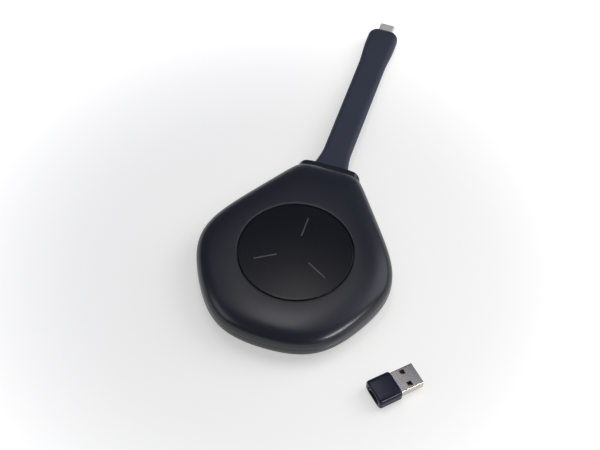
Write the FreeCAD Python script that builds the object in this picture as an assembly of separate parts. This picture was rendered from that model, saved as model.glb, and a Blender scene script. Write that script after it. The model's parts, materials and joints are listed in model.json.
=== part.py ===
import FreeCAD, Part
import math
import os

os.makedirs("parts", exist_ok=True)

V = FreeCAD.Vector
RIGHT = V(1, 0, 0)
ALONG = V(0, 1, 0)
UP = V(0, 0, 1)

# A wireless screen sharing dongle: a pebble-shaped housing whose top is one large button, a
# moulded flat tail that ends in a USB-C plug, and a loose adapter from USB-C to USB-A.
# Millimetres. The button's axis is the Z axis, the tail points along +Y, the table is z = 0.

# Outline from above: five edges blended into a rounded pentagon, cut flat where the tail leaves.
# A reach is the distance from the button's axis to an edge, an angle is the edge's direction
# from the tail. The shoulders pass through the tail end's corners.
FRONT_REACH = 50.2
FLANK_REACH = 48.5
FLANK_ANGLE = 118.0
SHOULDER_ANGLE = 55.3
TAIL_REACH = 58.5
TAIL_CORNER = 15.2
CORNER_POWER = 5.7
TAIL_CORNER_POWER = 26.0
OUTLINE_POINTS = 60
# How much closer together the outline's points lie at the tail than elsewhere
TAIL_CROWDING = 0.5

# A corner's radius stays under this share of half the side that it rounds
CORNER_LIMIT = 0.98
# How near an edge must be to a height to be taken for the one there
EDGE_TOLERANCE = 0.01

# Housing heights and walls
FOOT_PROUD = 0.6
SEAM_HEIGHT = 8.8
RIM_HEIGHT = 18.0
WALL = 1.8
UNDERSIDE_RADIUS = 40.0
ROLL_POWER = 3.0
ROLL_SECTIONS = 8
LIP_HEIGHT = 1.4
LIP_THICKNESS = 1.0
LIP_CLEARANCE = 0.1

# Foot
FOOT_RADIUS = 38.0
FOOT_THICKNESS = 1.0
FOOT_CLEARANCE = 0.1

# Button and its well
BUTTON_RADIUS = 28.25
BUTTON_GAP = 0.45
BUTTON_DOME = 0.6
BUTTON_INSET = 0.15
BUTTON_SKIN = 1.7
BUTTON_EDGE_RADIUS = 0.35
BUTTON_SKIRT = 2.8
SKIRT_THICKNESS = 1.8
BUTTON_TRAVEL = 0.5
WELL_WALL = 1.5
CROWN_OVERLAP = 1.0
LEDGE_WIDTH = 3.4
LEDGE_THICKNESS = 1.2
PAD_RING_HEIGHT = 1.3
PAD_RING_WIDTH = 2.2
HOOK_ANGLES = (60, 180, 300)
HOOK_WIDTH = 5.0
HOOK_THICKNESS = 1.4
HOOK_BARB = 1.8
HOOK_BARB_HEIGHT = 1.0
HOOK_PLAY = 0.05
HOOK_SIDE_CLEARANCE = 0.6

# Light marks in the button, one on the line of the tail and two more a third of a turn away
MARK_ANGLES = (0, 120, 240)
MARK_START = 9.4
MARK_END = 21.0
MARK_WIDTH = 0.65
MARK_CLEARANCE = 0.03
GUIDE_THICKNESS = 1.0
GUIDE_ARM_WIDTH = 3.2
GUIDE_HUB_WALL = 1.6
GUIDE_POST_RADIUS = 1.5
GUIDE_LED_GAP = 1.6

# Button plunger and switch
PLUNGER_RADIUS = 2.2
SWITCH_SIDE = 5.2
SWITCH_HEIGHT = 1.6
SWITCH_STEM_RADIUS = 1.2
SWITCH_STEM_PROUD = 0.7
SWITCH_STEM_DEPTH = 0.5
SWITCH_CLEARANCE = 0.05

# Board and what it carries
BOARD_RADIUS = 31.0
BOARD_THICKNESS = 1.2
SPREADER_RADIUS = 24.0
SPREADER_THICKNESS = 1.2
THERMAL_PAD_SIDE = 16.0
THERMAL_PAD_THICKNESS = 1.4
SHIELD_WIDTH = 26.0
SHIELD_LENGTH = 20.0
SHIELD_HEIGHT = 1.8
SHIELD_WALL = 0.3
PROCESSOR_SIDE = 12.0
PROCESSOR_HEIGHT = 1.0
RADIO_SIDE = 7.0
RADIO_HEIGHT = 0.8
CHIP_SPACING = 1.5
FLASH_WIDTH = 9.0
FLASH_LENGTH = 6.0
FLASH_HEIGHT = 1.0
INDUCTOR_SIDE = 5.0
INDUCTOR_HEIGHT = 2.0
CHIP_ORBIT = 13.0
LED_SIDE = 1.6
LED_HEIGHT = 0.7
ANTENNA_LENGTH = 18.0
ANTENNA_WIDTH = 4.0
ANTENNA_HEIGHT = 2.8
ANTENNA_SHEET = 0.4
ANTENNA_LEG_WIDTH = 1.5
ANTENNA_LEG_SPACING = 4.5
ANTENNA_EDGE_GAP = 7.0

# Fasteners
SCREW_ORBIT = 35.4
SCREW_ANGLES = (55, 140, 220, 305)
SCREW_SHANK_RADIUS = 1.0
SCREW_HEAD_RADIUS = 1.9
SCREW_HEAD_HEIGHT = 1.3
SCREW_LENGTH = 9.0
SCREW_END_SPACE = 0.5
SCREW_FLOOR = 1.4
SCREW_CLEARANCE = 0.15
THREAD_CLEARANCE = 0.02
POST_WALL = 1.5
POST_JOINT_DROP = 2.0
BOARD_SCREW_ORBIT = 27.6
BOARD_SCREW_ANGLES = (38, 180, 322)
SMALL_SHANK_RADIUS = 0.8
SMALL_HEAD_RADIUS = 1.5
SMALL_HEAD_HEIGHT = 0.8
SMALL_SCREW_LENGTH = 4.0
SMALL_SCREW_END_SPACE = 0.2
DRIVE_RECESS_WIDTH = 0.5
DRIVE_RECESS_DEPTH = 0.5
DRIVE_RECESS_SHARE = 1.2

# Tail root: collar, strain relief boot, clamp and leads
TAIL_HEIGHT = 9.0
COLLAR_WIDTH = 32.6
COLLAR_HEIGHT = 8.4
COLLAR_CORNER_RADIUS = 4.0
COLLAR_PROUD = 1.3
COLLAR_DEPTH = 2.6
COLLAR_CLEARANCE = 0.05
BOOT_ROOT_WIDTH = 18.4
BOOT_ROOT_HEIGHT = 7.5
BOOT_FLARE_SHARE = 0.45
ANCHOR_WIDTH = 18.2
ANCHOR_HEIGHT = 4.0
ANCHOR_LENGTH = 6.4
CLAMP_WIDTH = 4.0
CLAMP_THICKNESS = 1.0
CLAMP_CORNER_RADIUS = 1.3
CLAMP_SCREW_SPACING = 23.2
CLAMP_END = 2.2
LEAD_COUNT = 8
LEAD_RADIUS = 0.5
LEAD_PITCH = 1.25
HEADER_WIDTH = 15.0
HEADER_LENGTH = 5.0
HEADER_WALL = 0.8
HEADER_FLOOR = 0.4
HEADER_START = 24.5
SOCKET_PLAY = 0.05
CABLE_PLUG_PROUD = 1.6

# Tail: a flat strap that bends a little way out of the boot
STRAP_WIDTH = 14.6
STRAP_THICKNESS = 5.2
STRAP_EDGE_RADIUS = 2.4
TAIL_LENGTH = 105.0
BEND_DISTANCE = 9.0
BEND_GAP = 0.35
TABLE_GAP = 0.2
OVERMOLD_LENGTH = 27.0
OVERMOLD_TAPER = 17.0
OVERMOLD_WIDTH = 16.2
OVERMOLD_THICKNESS = 7.0
OVERMOLD_EDGE_RADIUS = 2.6
OVERMOLD_END_RADIUS = 4.0

# USB-C plug
PLUG_WIDTH = 8.25
PLUG_HEIGHT = 2.4
PLUG_LENGTH = 6.65
PLUG_WALL = 0.3
PLUG_BURIED = 3.0
PLUG_SLOT_WIDTH = 6.9
PLUG_SLOT_HEIGHT = 1.0
PLUG_BACK = 1.0
PLUG_CONTACT_SETBACK = 1.5
PLUG_BOARD_WIDTH = 9.0
PLUG_BOARD_LENGTH = 7.0
PLUG_BOARD_THICKNESS = 0.8
C_CONTACT_COUNT = 12
C_CONTACT_PITCH = 0.5
C_CONTACT_WIDTH = 0.26
C_CONTACT_HEIGHT = 0.1

# Adapter: where it lies, and its USB-C socket and USB-A plug
ADAPTER_X = 65.1
ADAPTER_Y = -48.2
ADAPTER_TURN = 45.7
ADAPTER_WIDTH = 14.2
ADAPTER_LENGTH = 12.4
ADAPTER_THICKNESS = 6.8
ADAPTER_EDGE_RADIUS = 2.0
ADAPTER_CORNER_RADIUS = 1.2
PORT_WIDTH = 8.94
PORT_HEIGHT = 3.16
PORT_WALL = 0.3
PORT_DEPTH = 6.5
PORT_INSET = 0.4
PORT_MOUTH = 0.5
TONGUE_WIDTH = 6.69
TONGUE_THICKNESS = 0.7
TONGUE_LENGTH = 4.5
TONGUE_BACK = 1.4
TONGUE_CONTACT_SETBACK = 0.5
ADAPTER_BOARD_WIDTH = 10.0
ADAPTER_BOARD_THICKNESS = 0.8
A_PLUG_WIDTH = 12.0
A_PLUG_HEIGHT = 4.5
A_PLUG_LENGTH = 11.8
A_PLUG_WALL = 0.3
A_PLUG_EDGE_RADIUS = 0.5
A_PLUG_BURIED = 2.4
A_WINDOW_WIDTH = 2.5
A_WINDOW_LENGTH = 2.4
A_WINDOW_SPACING = 7.0
A_WINDOW_FROM_TIP = 6.3
A_TONGUE_THICKNESS = 1.9
A_TONGUE_RECESS = 0.6
A_CONTACT_LENGTH = 7.4
A_CONTACT_WIDTH = 1.0
A_CONTACT_HEIGHT = 0.15
A_CONTACT_SETBACK = 0.8
A_CONTACT_PLACES = (-3.5, -1.0, 1.0, 3.5)

# Sizes worked out from those above
SHOULDER_TURN = math.radians(SHOULDER_ANGLE)
SHOULDER_REACH = TAIL_CORNER * math.sin(SHOULDER_TURN) + TAIL_REACH * math.cos(SHOULDER_TURN)
UNDERSIDE = FOOT_PROUD
SCREW_SEAT = UNDERSIDE + SCREW_FLOOR + SCREW_HEAD_HEIGHT
FLOOR_TOP = UNDERSIDE + WALL
SPREADER_TOP = FLOOR_TOP + SPREADER_THICKNESS
SHIELD_BOTTOM = SPREADER_TOP + THERMAL_PAD_THICKNESS
BOARD_BOTTOM = SHIELD_BOTTOM + SHIELD_HEIGHT
BOARD_TOP = BOARD_BOTTOM + BOARD_THICKNESS
POST_JOINT = SEAM_HEIGHT - POST_JOINT_DROP
BUTTON_EDGE_TOP = RIM_HEIGHT - BUTTON_INSET
BUTTON_UNDERSIDE = BUTTON_EDGE_TOP - BUTTON_SKIN
SKIRT_BOTTOM = BUTTON_EDGE_TOP - BUTTON_SKIRT
LEDGE_TOP = SKIRT_BOTTOM - PAD_RING_HEIGHT
LEDGE_BOTTOM = LEDGE_TOP - LEDGE_THICKNESS
SWITCH_TOP = BOARD_TOP + SWITCH_HEIGHT
STEM_TOP = SWITCH_TOP + SWITCH_STEM_PROUD
GUIDE_BOTTOM = BUTTON_UNDERSIDE - GUIDE_THICKNESS
LED_TOP = BOARD_TOP + LED_HEIGHT
WELL_RADIUS = BUTTON_RADIUS + BUTTON_GAP
LEDGE_RADIUS = WELL_RADIUS - LEDGE_WIDTH
CROWN_RADIUS = WELL_RADIUS - CROWN_OVERLAP
MARK_MIDDLE = (MARK_START + MARK_END) / 2
CHIP_ROW = PROCESSOR_SIDE + CHIP_SPACING + RADIO_SIDE
HINGE_Y = TAIL_REACH + BEND_DISTANCE
COLLAR_FRONT = TAIL_REACH + COLLAR_PROUD
COLLAR_BACK = TAIL_REACH - COLLAR_DEPTH
ANCHOR_BACK = COLLAR_BACK - ANCHOR_LENGTH
ANCHOR_INSET = WALL + LIP_CLEARANCE + LIP_THICKNESS + COLLAR_CLEARANCE
CLAMP_Y = ANCHOR_BACK + CLAMP_WIDTH / 2
CLAMP_BOTTOM = TAIL_HEIGHT + ANCHOR_HEIGHT / 2
STRAP_LENGTH = TAIL_LENGTH - BEND_DISTANCE - OVERMOLD_LENGTH
OVERMOLD_END = STRAP_LENGTH + OVERMOLD_LENGTH
GRIP_START = STRAP_LENGTH + OVERMOLD_TAPER
TAIL_DROOP = math.degrees(math.asin((TAIL_HEIGHT - OVERMOLD_THICKNESS / 2 - TABLE_GAP) / OVERMOLD_END))
PLUG_START = OVERMOLD_END - PLUG_BURIED
PLUG_TIP = OVERMOLD_END + PLUG_LENGTH
ADAPTER_LEVEL = ADAPTER_THICKNESS / 2
PORT_FRONT = PORT_INSET - ADAPTER_LENGTH
PORT_BACK = PORT_FRONT + PORT_DEPTH


def outline_radius(angle, inset=0.0):
    """Distance from the button's axis to the outline, moved in by inset, in a direction
    given in degrees from the tail."""
    edges = (
        (180.0, FRONT_REACH),
        (FLANK_ANGLE, FLANK_REACH),
        (-FLANK_ANGLE, FLANK_REACH),
        (SHOULDER_ANGLE, SHOULDER_REACH),
        (-SHOULDER_ANGLE, SHOULDER_REACH),
    )
    total = 0.0
    for edge_angle, reach in edges:
        facing = math.cos(math.radians(angle - edge_angle))
        if facing > 0:
            total += (facing / (reach - inset)) ** CORNER_POWER
    pentagon = total ** (1 / CORNER_POWER)
    tail_facing = max(0.0, math.cos(math.radians(angle))) / (TAIL_REACH - inset)
    blend = pentagon ** TAIL_CORNER_POWER + tail_facing ** TAIL_CORNER_POWER
    return blend ** (-1 / TAIL_CORNER_POWER)


def polar(radius, angle, height=0.0):
    """Point at a radius, in degrees from the tail, clockwise seen from above."""
    turn = math.radians(angle)
    return V(radius * math.sin(turn), radius * math.cos(turn), height)


def outline_wire(height, inset, inner_radius, share):
    """Closed curve that is the outline at share 1 and a circle of inner_radius at share 0."""
    points = []
    for step in range(OUTLINE_POINTS):
        turn = 2 * math.pi * step / OUTLINE_POINTS
        angle = math.degrees(turn - TAIL_CROWDING * math.sin(turn))
        radius = inner_radius + (outline_radius(angle, inset) - inner_radius) * share
        points.append(polar(radius, angle, height))
    knots = [step / OUTLINE_POINTS for step in range(OUTLINE_POINTS + 1)]
    curve = Part.BSplineCurve()
    curve.interpolate(Points=points, Parameters=knots, PeriodicFlag=True)
    return Part.Wire(curve.toShape())


def rolled_solid(inset, inner_radius, edge_height, face_height):
    """Half of the pebble: from the outline at edge_height it rolls over to a flat round
    face of inner_radius at face_height."""
    wires = []
    for step in range(ROLL_SECTIONS + 1):
        turn = math.pi / 2 * step / ROLL_SECTIONS
        share = max(0.0, math.cos(turn)) ** (2 / ROLL_POWER) if step < ROLL_SECTIONS else 0.0
        rise = math.sin(turn) ** (2 / ROLL_POWER)
        height = edge_height + (face_height - edge_height) * rise
        wires.append(outline_wire(height, inset, inner_radius, share))
    return Part.makeLoft(wires, True, False)


def outline_slab(inset, bottom, top):
    """Slab whose edge is the outline moved in by inset."""
    wire = outline_wire(bottom, inset, 0.0, 1.0)
    return Part.Face(wire).extrude(V(0, 0, top - bottom))


def post(radius, bottom, top, place=V(0, 0, 0)):
    """Upright cylinder between two heights."""
    return Part.makeCylinder(radius, top - bottom, V(place.x, place.y, bottom))


def block(width, length, height, middle, start, bottom):
    """Box centred on x = middle, from y = start and z = bottom."""
    return Part.makeBox(width, length, height, V(middle - width / 2, start, bottom))


def bar(width, height, radius, start, end, level=0.0):
    """Bar along Y with a rounded rectangular section centred at z = level."""
    face = Part.Face(section_wire(width, height, radius, start, level))
    return face.extrude(V(0, end - start, 0))


def section_wire(width, height, radius, y, level=0.0):
    """Rounded rectangle across the Y axis."""
    half_w = width / 2
    half_h = height / 2
    r = min(radius, half_h * CORNER_LIMIT, half_w * CORNER_LIMIT)
    slant = r * math.sqrt(0.5)
    edges = []
    for side_x, side_z, across in ((1, 1, True), (1, -1, False), (-1, -1, True), (-1, 1, False)):
        centre = V(side_x * (half_w - r), y, level + side_z * (half_h - r))
        end_z = V(0, 0, side_z * r)
        end_x = V(side_x * r, 0, 0)
        middle = centre + V(side_x * slant, 0, side_z * slant)
        first, last = (end_z, end_x) if across else (end_x, end_z)
        edges.append((centre + first, middle, centre + last))
    parts = []
    for index, (first, middle, last) in enumerate(edges):
        parts.append(Part.Arc(first, middle, last).toShape())
        following = edges[(index + 1) % len(edges)][0]
        parts.append(Part.LineSegment(last, following).toShape())
    return Part.Wire(parts)


def turned(shape, angle):
    """Copy turned clockwise about Z, so that +Y goes to the direction of polar(angle)."""
    copy = shape.copy()
    copy.rotate(V(0, 0, 0), UP, -angle)
    return copy


def fuse(shapes):
    """One solid from several that touch."""
    return shapes[0].multiFuse(shapes[1:]).removeSplitter()


def cut(shape, *tools):
    """Shape without the tools."""
    return shape.cut(list(tools))


def save(name, *solids):
    """Writes one node."""
    shape = solids[0] if len(solids) == 1 else Part.makeCompound(list(solids))
    count = len(shape.Solids)
    print(f"{name}: {count} solid(s), {shape.Volume:.1f} mm3, valid {shape.isValid()}")
    shape.exportStep(f"parts/{name}.step")


def screw(shank_radius, head_radius, head_height, length, seat, direction, place):
    """Pan head screw with a cross recess. Its head sits on height seat and its shank runs
    from there along direction, +1 up or -1 down."""
    end = seat + direction * length
    shank = post(shank_radius, min(seat, end), max(seat, end))
    head_low = min(seat, seat - direction * head_height)
    head = post(head_radius, head_low, head_low + head_height)
    recess_low = head_low if direction > 0 else head_low + head_height - DRIVE_RECESS_DEPTH
    reach = head_radius * DRIVE_RECESS_SHARE
    slots = [
        block(reach, DRIVE_RECESS_WIDTH, DRIVE_RECESS_DEPTH, 0, -DRIVE_RECESS_WIDTH / 2, recess_low),
        block(DRIVE_RECESS_WIDTH, reach, DRIVE_RECESS_DEPTH, 0, -reach / 2, recess_low),
    ]
    solid = cut(fuse([shank, head]), *slots)
    solid.translate(place)
    return solid


# Housing


def collar_blank(clearance):
    """The collar without its window: an oblong slice of the housing's outline."""
    width = COLLAR_WIDTH + 2 * clearance
    height = COLLAR_HEIGHT + 2 * clearance
    radius = COLLAR_CORNER_RADIUS + clearance
    oblong = bar(width, height, radius, ANCHOR_BACK, COLLAR_FRONT + WALL, TAIL_HEIGHT)
    low = TAIL_HEIGHT - height
    high = TAIL_HEIGHT + height
    front = outline_slab(-COLLAR_PROUD - clearance, low, high)
    back = outline_slab(COLLAR_DEPTH + clearance, low, high)
    return cut(oblong.common(front), back)


def boot_root(clearance):
    """Bar with the section of the boot's root, from the clamp to the collar's front."""
    return bar(
        BOOT_ROOT_WIDTH + 2 * clearance,
        BOOT_ROOT_HEIGHT + 2 * clearance,
        STRAP_EDGE_RADIUS,
        ANCHOR_BACK + CLAMP_WIDTH + COLLAR_CLEARANCE,
        COLLAR_FRONT,
        TAIL_HEIGHT,
    )


def tail_openings():
    """What the collar and the boot take out of the housing's end."""
    return [collar_blank(COLLAR_CLEARANCE), boot_root(COLLAR_CLEARANCE)]


def screw_places():
    """Where the four housing screws stand."""
    return [polar(SCREW_ORBIT, angle) for angle in SCREW_ANGLES]


def board_screw_places():
    """Where the three board screws stand."""
    return [polar(BOARD_SCREW_ORBIT, angle) for angle in BOARD_SCREW_ANGLES]


def clamp_screw_places():
    """Where the two clamp screws stand."""
    return [V(side * CLAMP_SCREW_SPACING / 2, CLAMP_Y, 0) for side in (-1, 1)]


def top_cover():
    """Upper shell, with the round well that the button sits in and four screw posts."""
    outer = rolled_solid(0.0, CROWN_RADIUS, SEAM_HEIGHT, RIM_HEIGHT)
    inner = rolled_solid(WALL, CROWN_RADIUS, SEAM_HEIGHT, RIM_HEIGHT - WALL)
    shell = cut(outer, inner)
    well = post(WELL_RADIUS + WELL_WALL, LEDGE_BOTTOM, RIM_HEIGHT - WALL / 2)
    posts = [post(SCREW_SHANK_RADIUS + POST_WALL, POST_JOINT, RIM_HEIGHT, place) for place in screw_places()]
    posts = [one.common(outer) for one in posts]
    shafts = [
        post(SCREW_SHANK_RADIUS + POST_WALL, POST_JOINT, SEAM_HEIGHT, place) for place in screw_places()
    ]
    shell = fuse([shell, well] + posts + shafts)
    holes = [post(WELL_RADIUS, LEDGE_TOP, RIM_HEIGHT + WALL), post(LEDGE_RADIUS, 0, LEDGE_TOP)]
    pilot_top = SCREW_SEAT + SCREW_LENGTH + SCREW_END_SPACE
    for place in screw_places():
        holes.append(post(SCREW_SHANK_RADIUS + THREAD_CLEARANCE, 0, pilot_top, place))
    return cut(shell, *holes, *tail_openings())


def bottom_cover():
    """Lower shell, with the lip that enters the upper one, screw towers, board posts and
    clamp bosses."""
    outer = rolled_solid(0.0, UNDERSIDE_RADIUS, SEAM_HEIGHT, UNDERSIDE)
    inner = rolled_solid(WALL, UNDERSIDE_RADIUS - WALL, SEAM_HEIGHT, FLOOR_TOP)
    shell = cut(outer, inner)
    lip_inset = WALL + LIP_CLEARANCE
    lip_outer = outline_slab(lip_inset, SEAM_HEIGHT - LIP_HEIGHT, SEAM_HEIGHT + LIP_HEIGHT)
    lip_inner = outline_slab(lip_inset + LIP_THICKNESS, SEAM_HEIGHT - LIP_HEIGHT, SEAM_HEIGHT + LIP_HEIGHT)
    lip_root = outline_slab(lip_inset - WALL / 2, SEAM_HEIGHT - LIP_HEIGHT, SEAM_HEIGHT)
    lip = cut(fuse([lip_outer, lip_root]), lip_inner)
    towers = [
        post(SCREW_HEAD_RADIUS + SCREW_CLEARANCE + POST_WALL, UNDERSIDE, POST_JOINT, place)
        for place in screw_places()
    ]
    board_posts = [
        post(SMALL_SHANK_RADIUS + POST_WALL, UNDERSIDE, BOARD_BOTTOM, place) for place in board_screw_places()
    ]
    bosses = [
        post(SMALL_SHANK_RADIUS + POST_WALL, UNDERSIDE, SEAM_HEIGHT, place) for place in clamp_screw_places()
    ]
    boss_tops = [
        post(SMALL_SHANK_RADIUS + POST_WALL, SEAM_HEIGHT, CLAMP_BOTTOM, place)
        for place in clamp_screw_places()
    ]
    inside = [one.common(outer) for one in towers + board_posts + bosses]
    shell = fuse([shell, lip] + inside + boss_tops)
    holes = [post(FOOT_RADIUS + FOOT_CLEARANCE, 0, FOOT_THICKNESS)]
    for place in screw_places():
        holes.append(post(SCREW_HEAD_RADIUS + SCREW_CLEARANCE, 0, SCREW_SEAT, place))
        holes.append(post(SCREW_SHANK_RADIUS + SCREW_CLEARANCE, 0, RIM_HEIGHT, place))
    for place in board_screw_places():
        holes.append(small_pilot(BOARD_TOP, place))
    for place in clamp_screw_places():
        holes.append(small_pilot(CLAMP_BOTTOM + CLAMP_THICKNESS, place))
    return cut(shell, *holes, *tail_openings())


def small_pilot(seat, place):
    """Pilot hole for a small screw whose head sits at height seat."""
    bottom = seat - SMALL_SCREW_LENGTH - SMALL_SCREW_END_SPACE
    return post(SMALL_SHANK_RADIUS + THREAD_CLEARANCE, bottom, seat, place)


def cover_screws():
    """Four screws that close the housing from below."""
    return [
        screw(SCREW_SHANK_RADIUS, SCREW_HEAD_RADIUS, SCREW_HEAD_HEIGHT, SCREW_LENGTH, SCREW_SEAT, 1, place)
        for place in screw_places()
    ]


def small_screws(seat, places):
    """Small screws driven from above onto height seat."""
    return [
        screw(SMALL_SHANK_RADIUS, SMALL_HEAD_RADIUS, SMALL_HEAD_HEIGHT, SMALL_SCREW_LENGTH, seat, -1, place)
        for place in places
    ]


# Button


def button_envelope():
    """Button as a plain domed disc, from its underside up."""
    edge = V(BUTTON_RADIUS, 0, BUTTON_EDGE_TOP)
    crown = V(0, 0, BUTTON_EDGE_TOP + BUTTON_DOME)
    sphere_radius = (BUTTON_RADIUS**2 + BUTTON_DOME**2) / (2 * BUTTON_DOME)
    half = math.asin(BUTTON_RADIUS / sphere_radius) / 2
    middle = V(sphere_radius * math.sin(half), 0, crown.z - sphere_radius * (1 - math.cos(half)))
    low_edge = V(BUTTON_RADIUS, 0, BUTTON_UNDERSIDE)
    low_middle = V(0, 0, BUTTON_UNDERSIDE)
    wire = Part.Wire(
        [
            Part.Arc(crown, middle, edge).toShape(),
            Part.LineSegment(edge, low_edge).toShape(),
            Part.LineSegment(low_edge, low_middle).toShape(),
            Part.LineSegment(low_middle, crown).toShape(),
        ]
    )
    return Part.Face(wire).revolve(V(0, 0, 0), UP, 360)


def mark_rib(clearance):
    """Upright rib that shows as one light mark, taller than the button."""
    return block(
        MARK_WIDTH + 2 * clearance,
        MARK_END - MARK_START + 2 * clearance,
        BUTTON_SKIN + 2 * BUTTON_DOME,
        0,
        MARK_START - clearance,
        BUTTON_UNDERSIDE - clearance,
    )


def button_hook():
    """Snap hook under the button, on the line of the tail. Its barb catches the ledge."""
    outer_radius = LEDGE_RADIUS - HOOK_SIDE_CLEARANCE
    barb_top = LEDGE_BOTTOM - HOOK_PLAY
    barb_bottom = barb_top - HOOK_BARB_HEIGHT
    leg_height = BUTTON_UNDERSIDE - barb_bottom
    leg = block(HOOK_WIDTH, HOOK_THICKNESS, leg_height, 0, outer_radius - HOOK_THICKNESS, barb_bottom)
    barb = block(HOOK_WIDTH, HOOK_BARB, HOOK_BARB_HEIGHT, 0, outer_radius, barb_bottom)
    return fuse([leg, barb])


def button_cap():
    """The large button: a domed plate with a skirt, three hooks, a plunger for the switch
    and three slots for the light marks."""
    disc = button_envelope()
    rim = [
        edge
        for edge in disc.Edges
        if abs(edge.BoundBox.ZMin - BUTTON_EDGE_TOP) < EDGE_TOLERANCE and edge.Length > BUTTON_RADIUS
    ]
    disc = disc.makeFillet(BUTTON_EDGE_RADIUS, rim)
    skirt = cut(
        post(BUTTON_RADIUS, SKIRT_BOTTOM, BUTTON_UNDERSIDE),
        post(BUTTON_RADIUS - SKIRT_THICKNESS, SKIRT_BOTTOM, BUTTON_UNDERSIDE),
    )
    plunger = post(PLUNGER_RADIUS, STEM_TOP, BUTTON_UNDERSIDE)
    hooks = [turned(button_hook(), angle) for angle in HOOK_ANGLES]
    cap = fuse([disc, skirt, plunger] + hooks)
    return cut(cap, *[turned(mark_rib(MARK_CLEARANCE), angle) for angle in MARK_ANGLES])


def light_guide():
    """Clear moulding under the button: a hub round the plunger, three arms, a rib on each
    that fills its slot, and a post from each arm towards its light."""
    hub_inner = PLUNGER_RADIUS + MARK_CLEARANCE
    hub = post(hub_inner + GUIDE_HUB_WALL, GUIDE_BOTTOM, BUTTON_UNDERSIDE)
    solids = [hub]
    for angle in MARK_ANGLES:
        arm = block(GUIDE_ARM_WIDTH, MARK_END, GUIDE_THICKNESS, 0, 0, GUIDE_BOTTOM)
        leg = post(GUIDE_POST_RADIUS, LED_TOP + GUIDE_LED_GAP, GUIDE_BOTTOM, V(0, MARK_MIDDLE, 0))
        rib = mark_rib(0.0).common(button_envelope())
        solids += [turned(arm, angle), turned(leg, angle), turned(rib, angle)]
    return cut(fuse(solids), post(hub_inner, 0, RIM_HEIGHT + BUTTON_DOME))


def return_pad():
    """Soft ring on the ledge that pushes the button back up."""
    outer = BUTTON_RADIUS - BUTTON_GAP
    ring = post(outer, LEDGE_TOP, SKIRT_BOTTOM)
    return cut(ring, post(outer - PAD_RING_WIDTH, LEDGE_TOP, SKIRT_BOTTOM))


def tact_switch():
    """Switch body with the bore that its stem slides in."""
    body = block(SWITCH_SIDE, SWITCH_SIDE, SWITCH_HEIGHT, 0, -SWITCH_SIDE / 2, BOARD_TOP)
    bore_depth = SWITCH_STEM_DEPTH + BUTTON_TRAVEL + SWITCH_CLEARANCE
    return cut(body, post(SWITCH_STEM_RADIUS + SWITCH_CLEARANCE, SWITCH_TOP - bore_depth, STEM_TOP))


def switch_stem():
    """Stem of the switch, pressed by the button's plunger."""
    return post(SWITCH_STEM_RADIUS, SWITCH_TOP - SWITCH_STEM_DEPTH, STEM_TOP)


# Electronics


def main_board():
    """Round board with three screw holes."""
    board = post(BOARD_RADIUS, BOARD_BOTTOM, BOARD_TOP)
    hole = SMALL_SHANK_RADIUS + SCREW_CLEARANCE
    return cut(board, *[post(hole, BOARD_BOTTOM, BOARD_TOP, place) for place in board_screw_places()])


def shield_can():
    """Folded sheet can under the board, open towards it."""
    can = block(SHIELD_WIDTH, SHIELD_LENGTH, SHIELD_HEIGHT, 0, -SHIELD_LENGTH / 2, SHIELD_BOTTOM)
    hollow = block(
        SHIELD_WIDTH - 2 * SHIELD_WALL,
        SHIELD_LENGTH - 2 * SHIELD_WALL,
        SHIELD_HEIGHT - SHIELD_WALL,
        0,
        -SHIELD_LENGTH / 2 + SHIELD_WALL,
        SHIELD_BOTTOM + SHIELD_WALL,
    )
    return cut(can, hollow)


def chip_under_board(side, height, middle):
    """Square chip on the underside of the board."""
    return block(side, side, height, middle, -side / 2, BOARD_BOTTOM - height)


def indicator_leds():
    """One light chip under each mark."""
    return [
        turned(block(LED_SIDE, LED_SIDE, LED_HEIGHT, 0, MARK_MIDDLE - LED_SIDE / 2, BOARD_TOP), angle)
        for angle in MARK_ANGLES
    ]


def antenna(side):
    """Stamped antenna: a raised strip on two legs, at one side of the board."""
    middle = side * (BOARD_RADIUS - ANTENNA_EDGE_GAP)
    strip = block(
        ANTENNA_WIDTH,
        ANTENNA_LENGTH,
        ANTENNA_SHEET,
        middle,
        -ANTENNA_LENGTH / 2,
        BOARD_TOP + ANTENNA_HEIGHT - ANTENNA_SHEET,
    )
    leg_middle = middle + side * (ANTENNA_WIDTH - ANTENNA_SHEET) / 2
    legs = [
        block(ANTENNA_SHEET, ANTENNA_LEG_WIDTH, ANTENNA_HEIGHT, leg_middle, start, BOARD_TOP)
        for start in (-ANTENNA_LENGTH / 2, -ANTENNA_LENGTH / 2 + ANTENNA_LEG_SPACING)
    ]
    return fuse([strip] + legs)


# Tail root


def tail_collar():
    """Gloss trim ring pressed in round the tail's root. It follows the housing's outline and
    stands a little proud of it."""
    return cut(collar_blank(0.0), boot_root(COLLAR_CLEARANCE))


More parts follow.
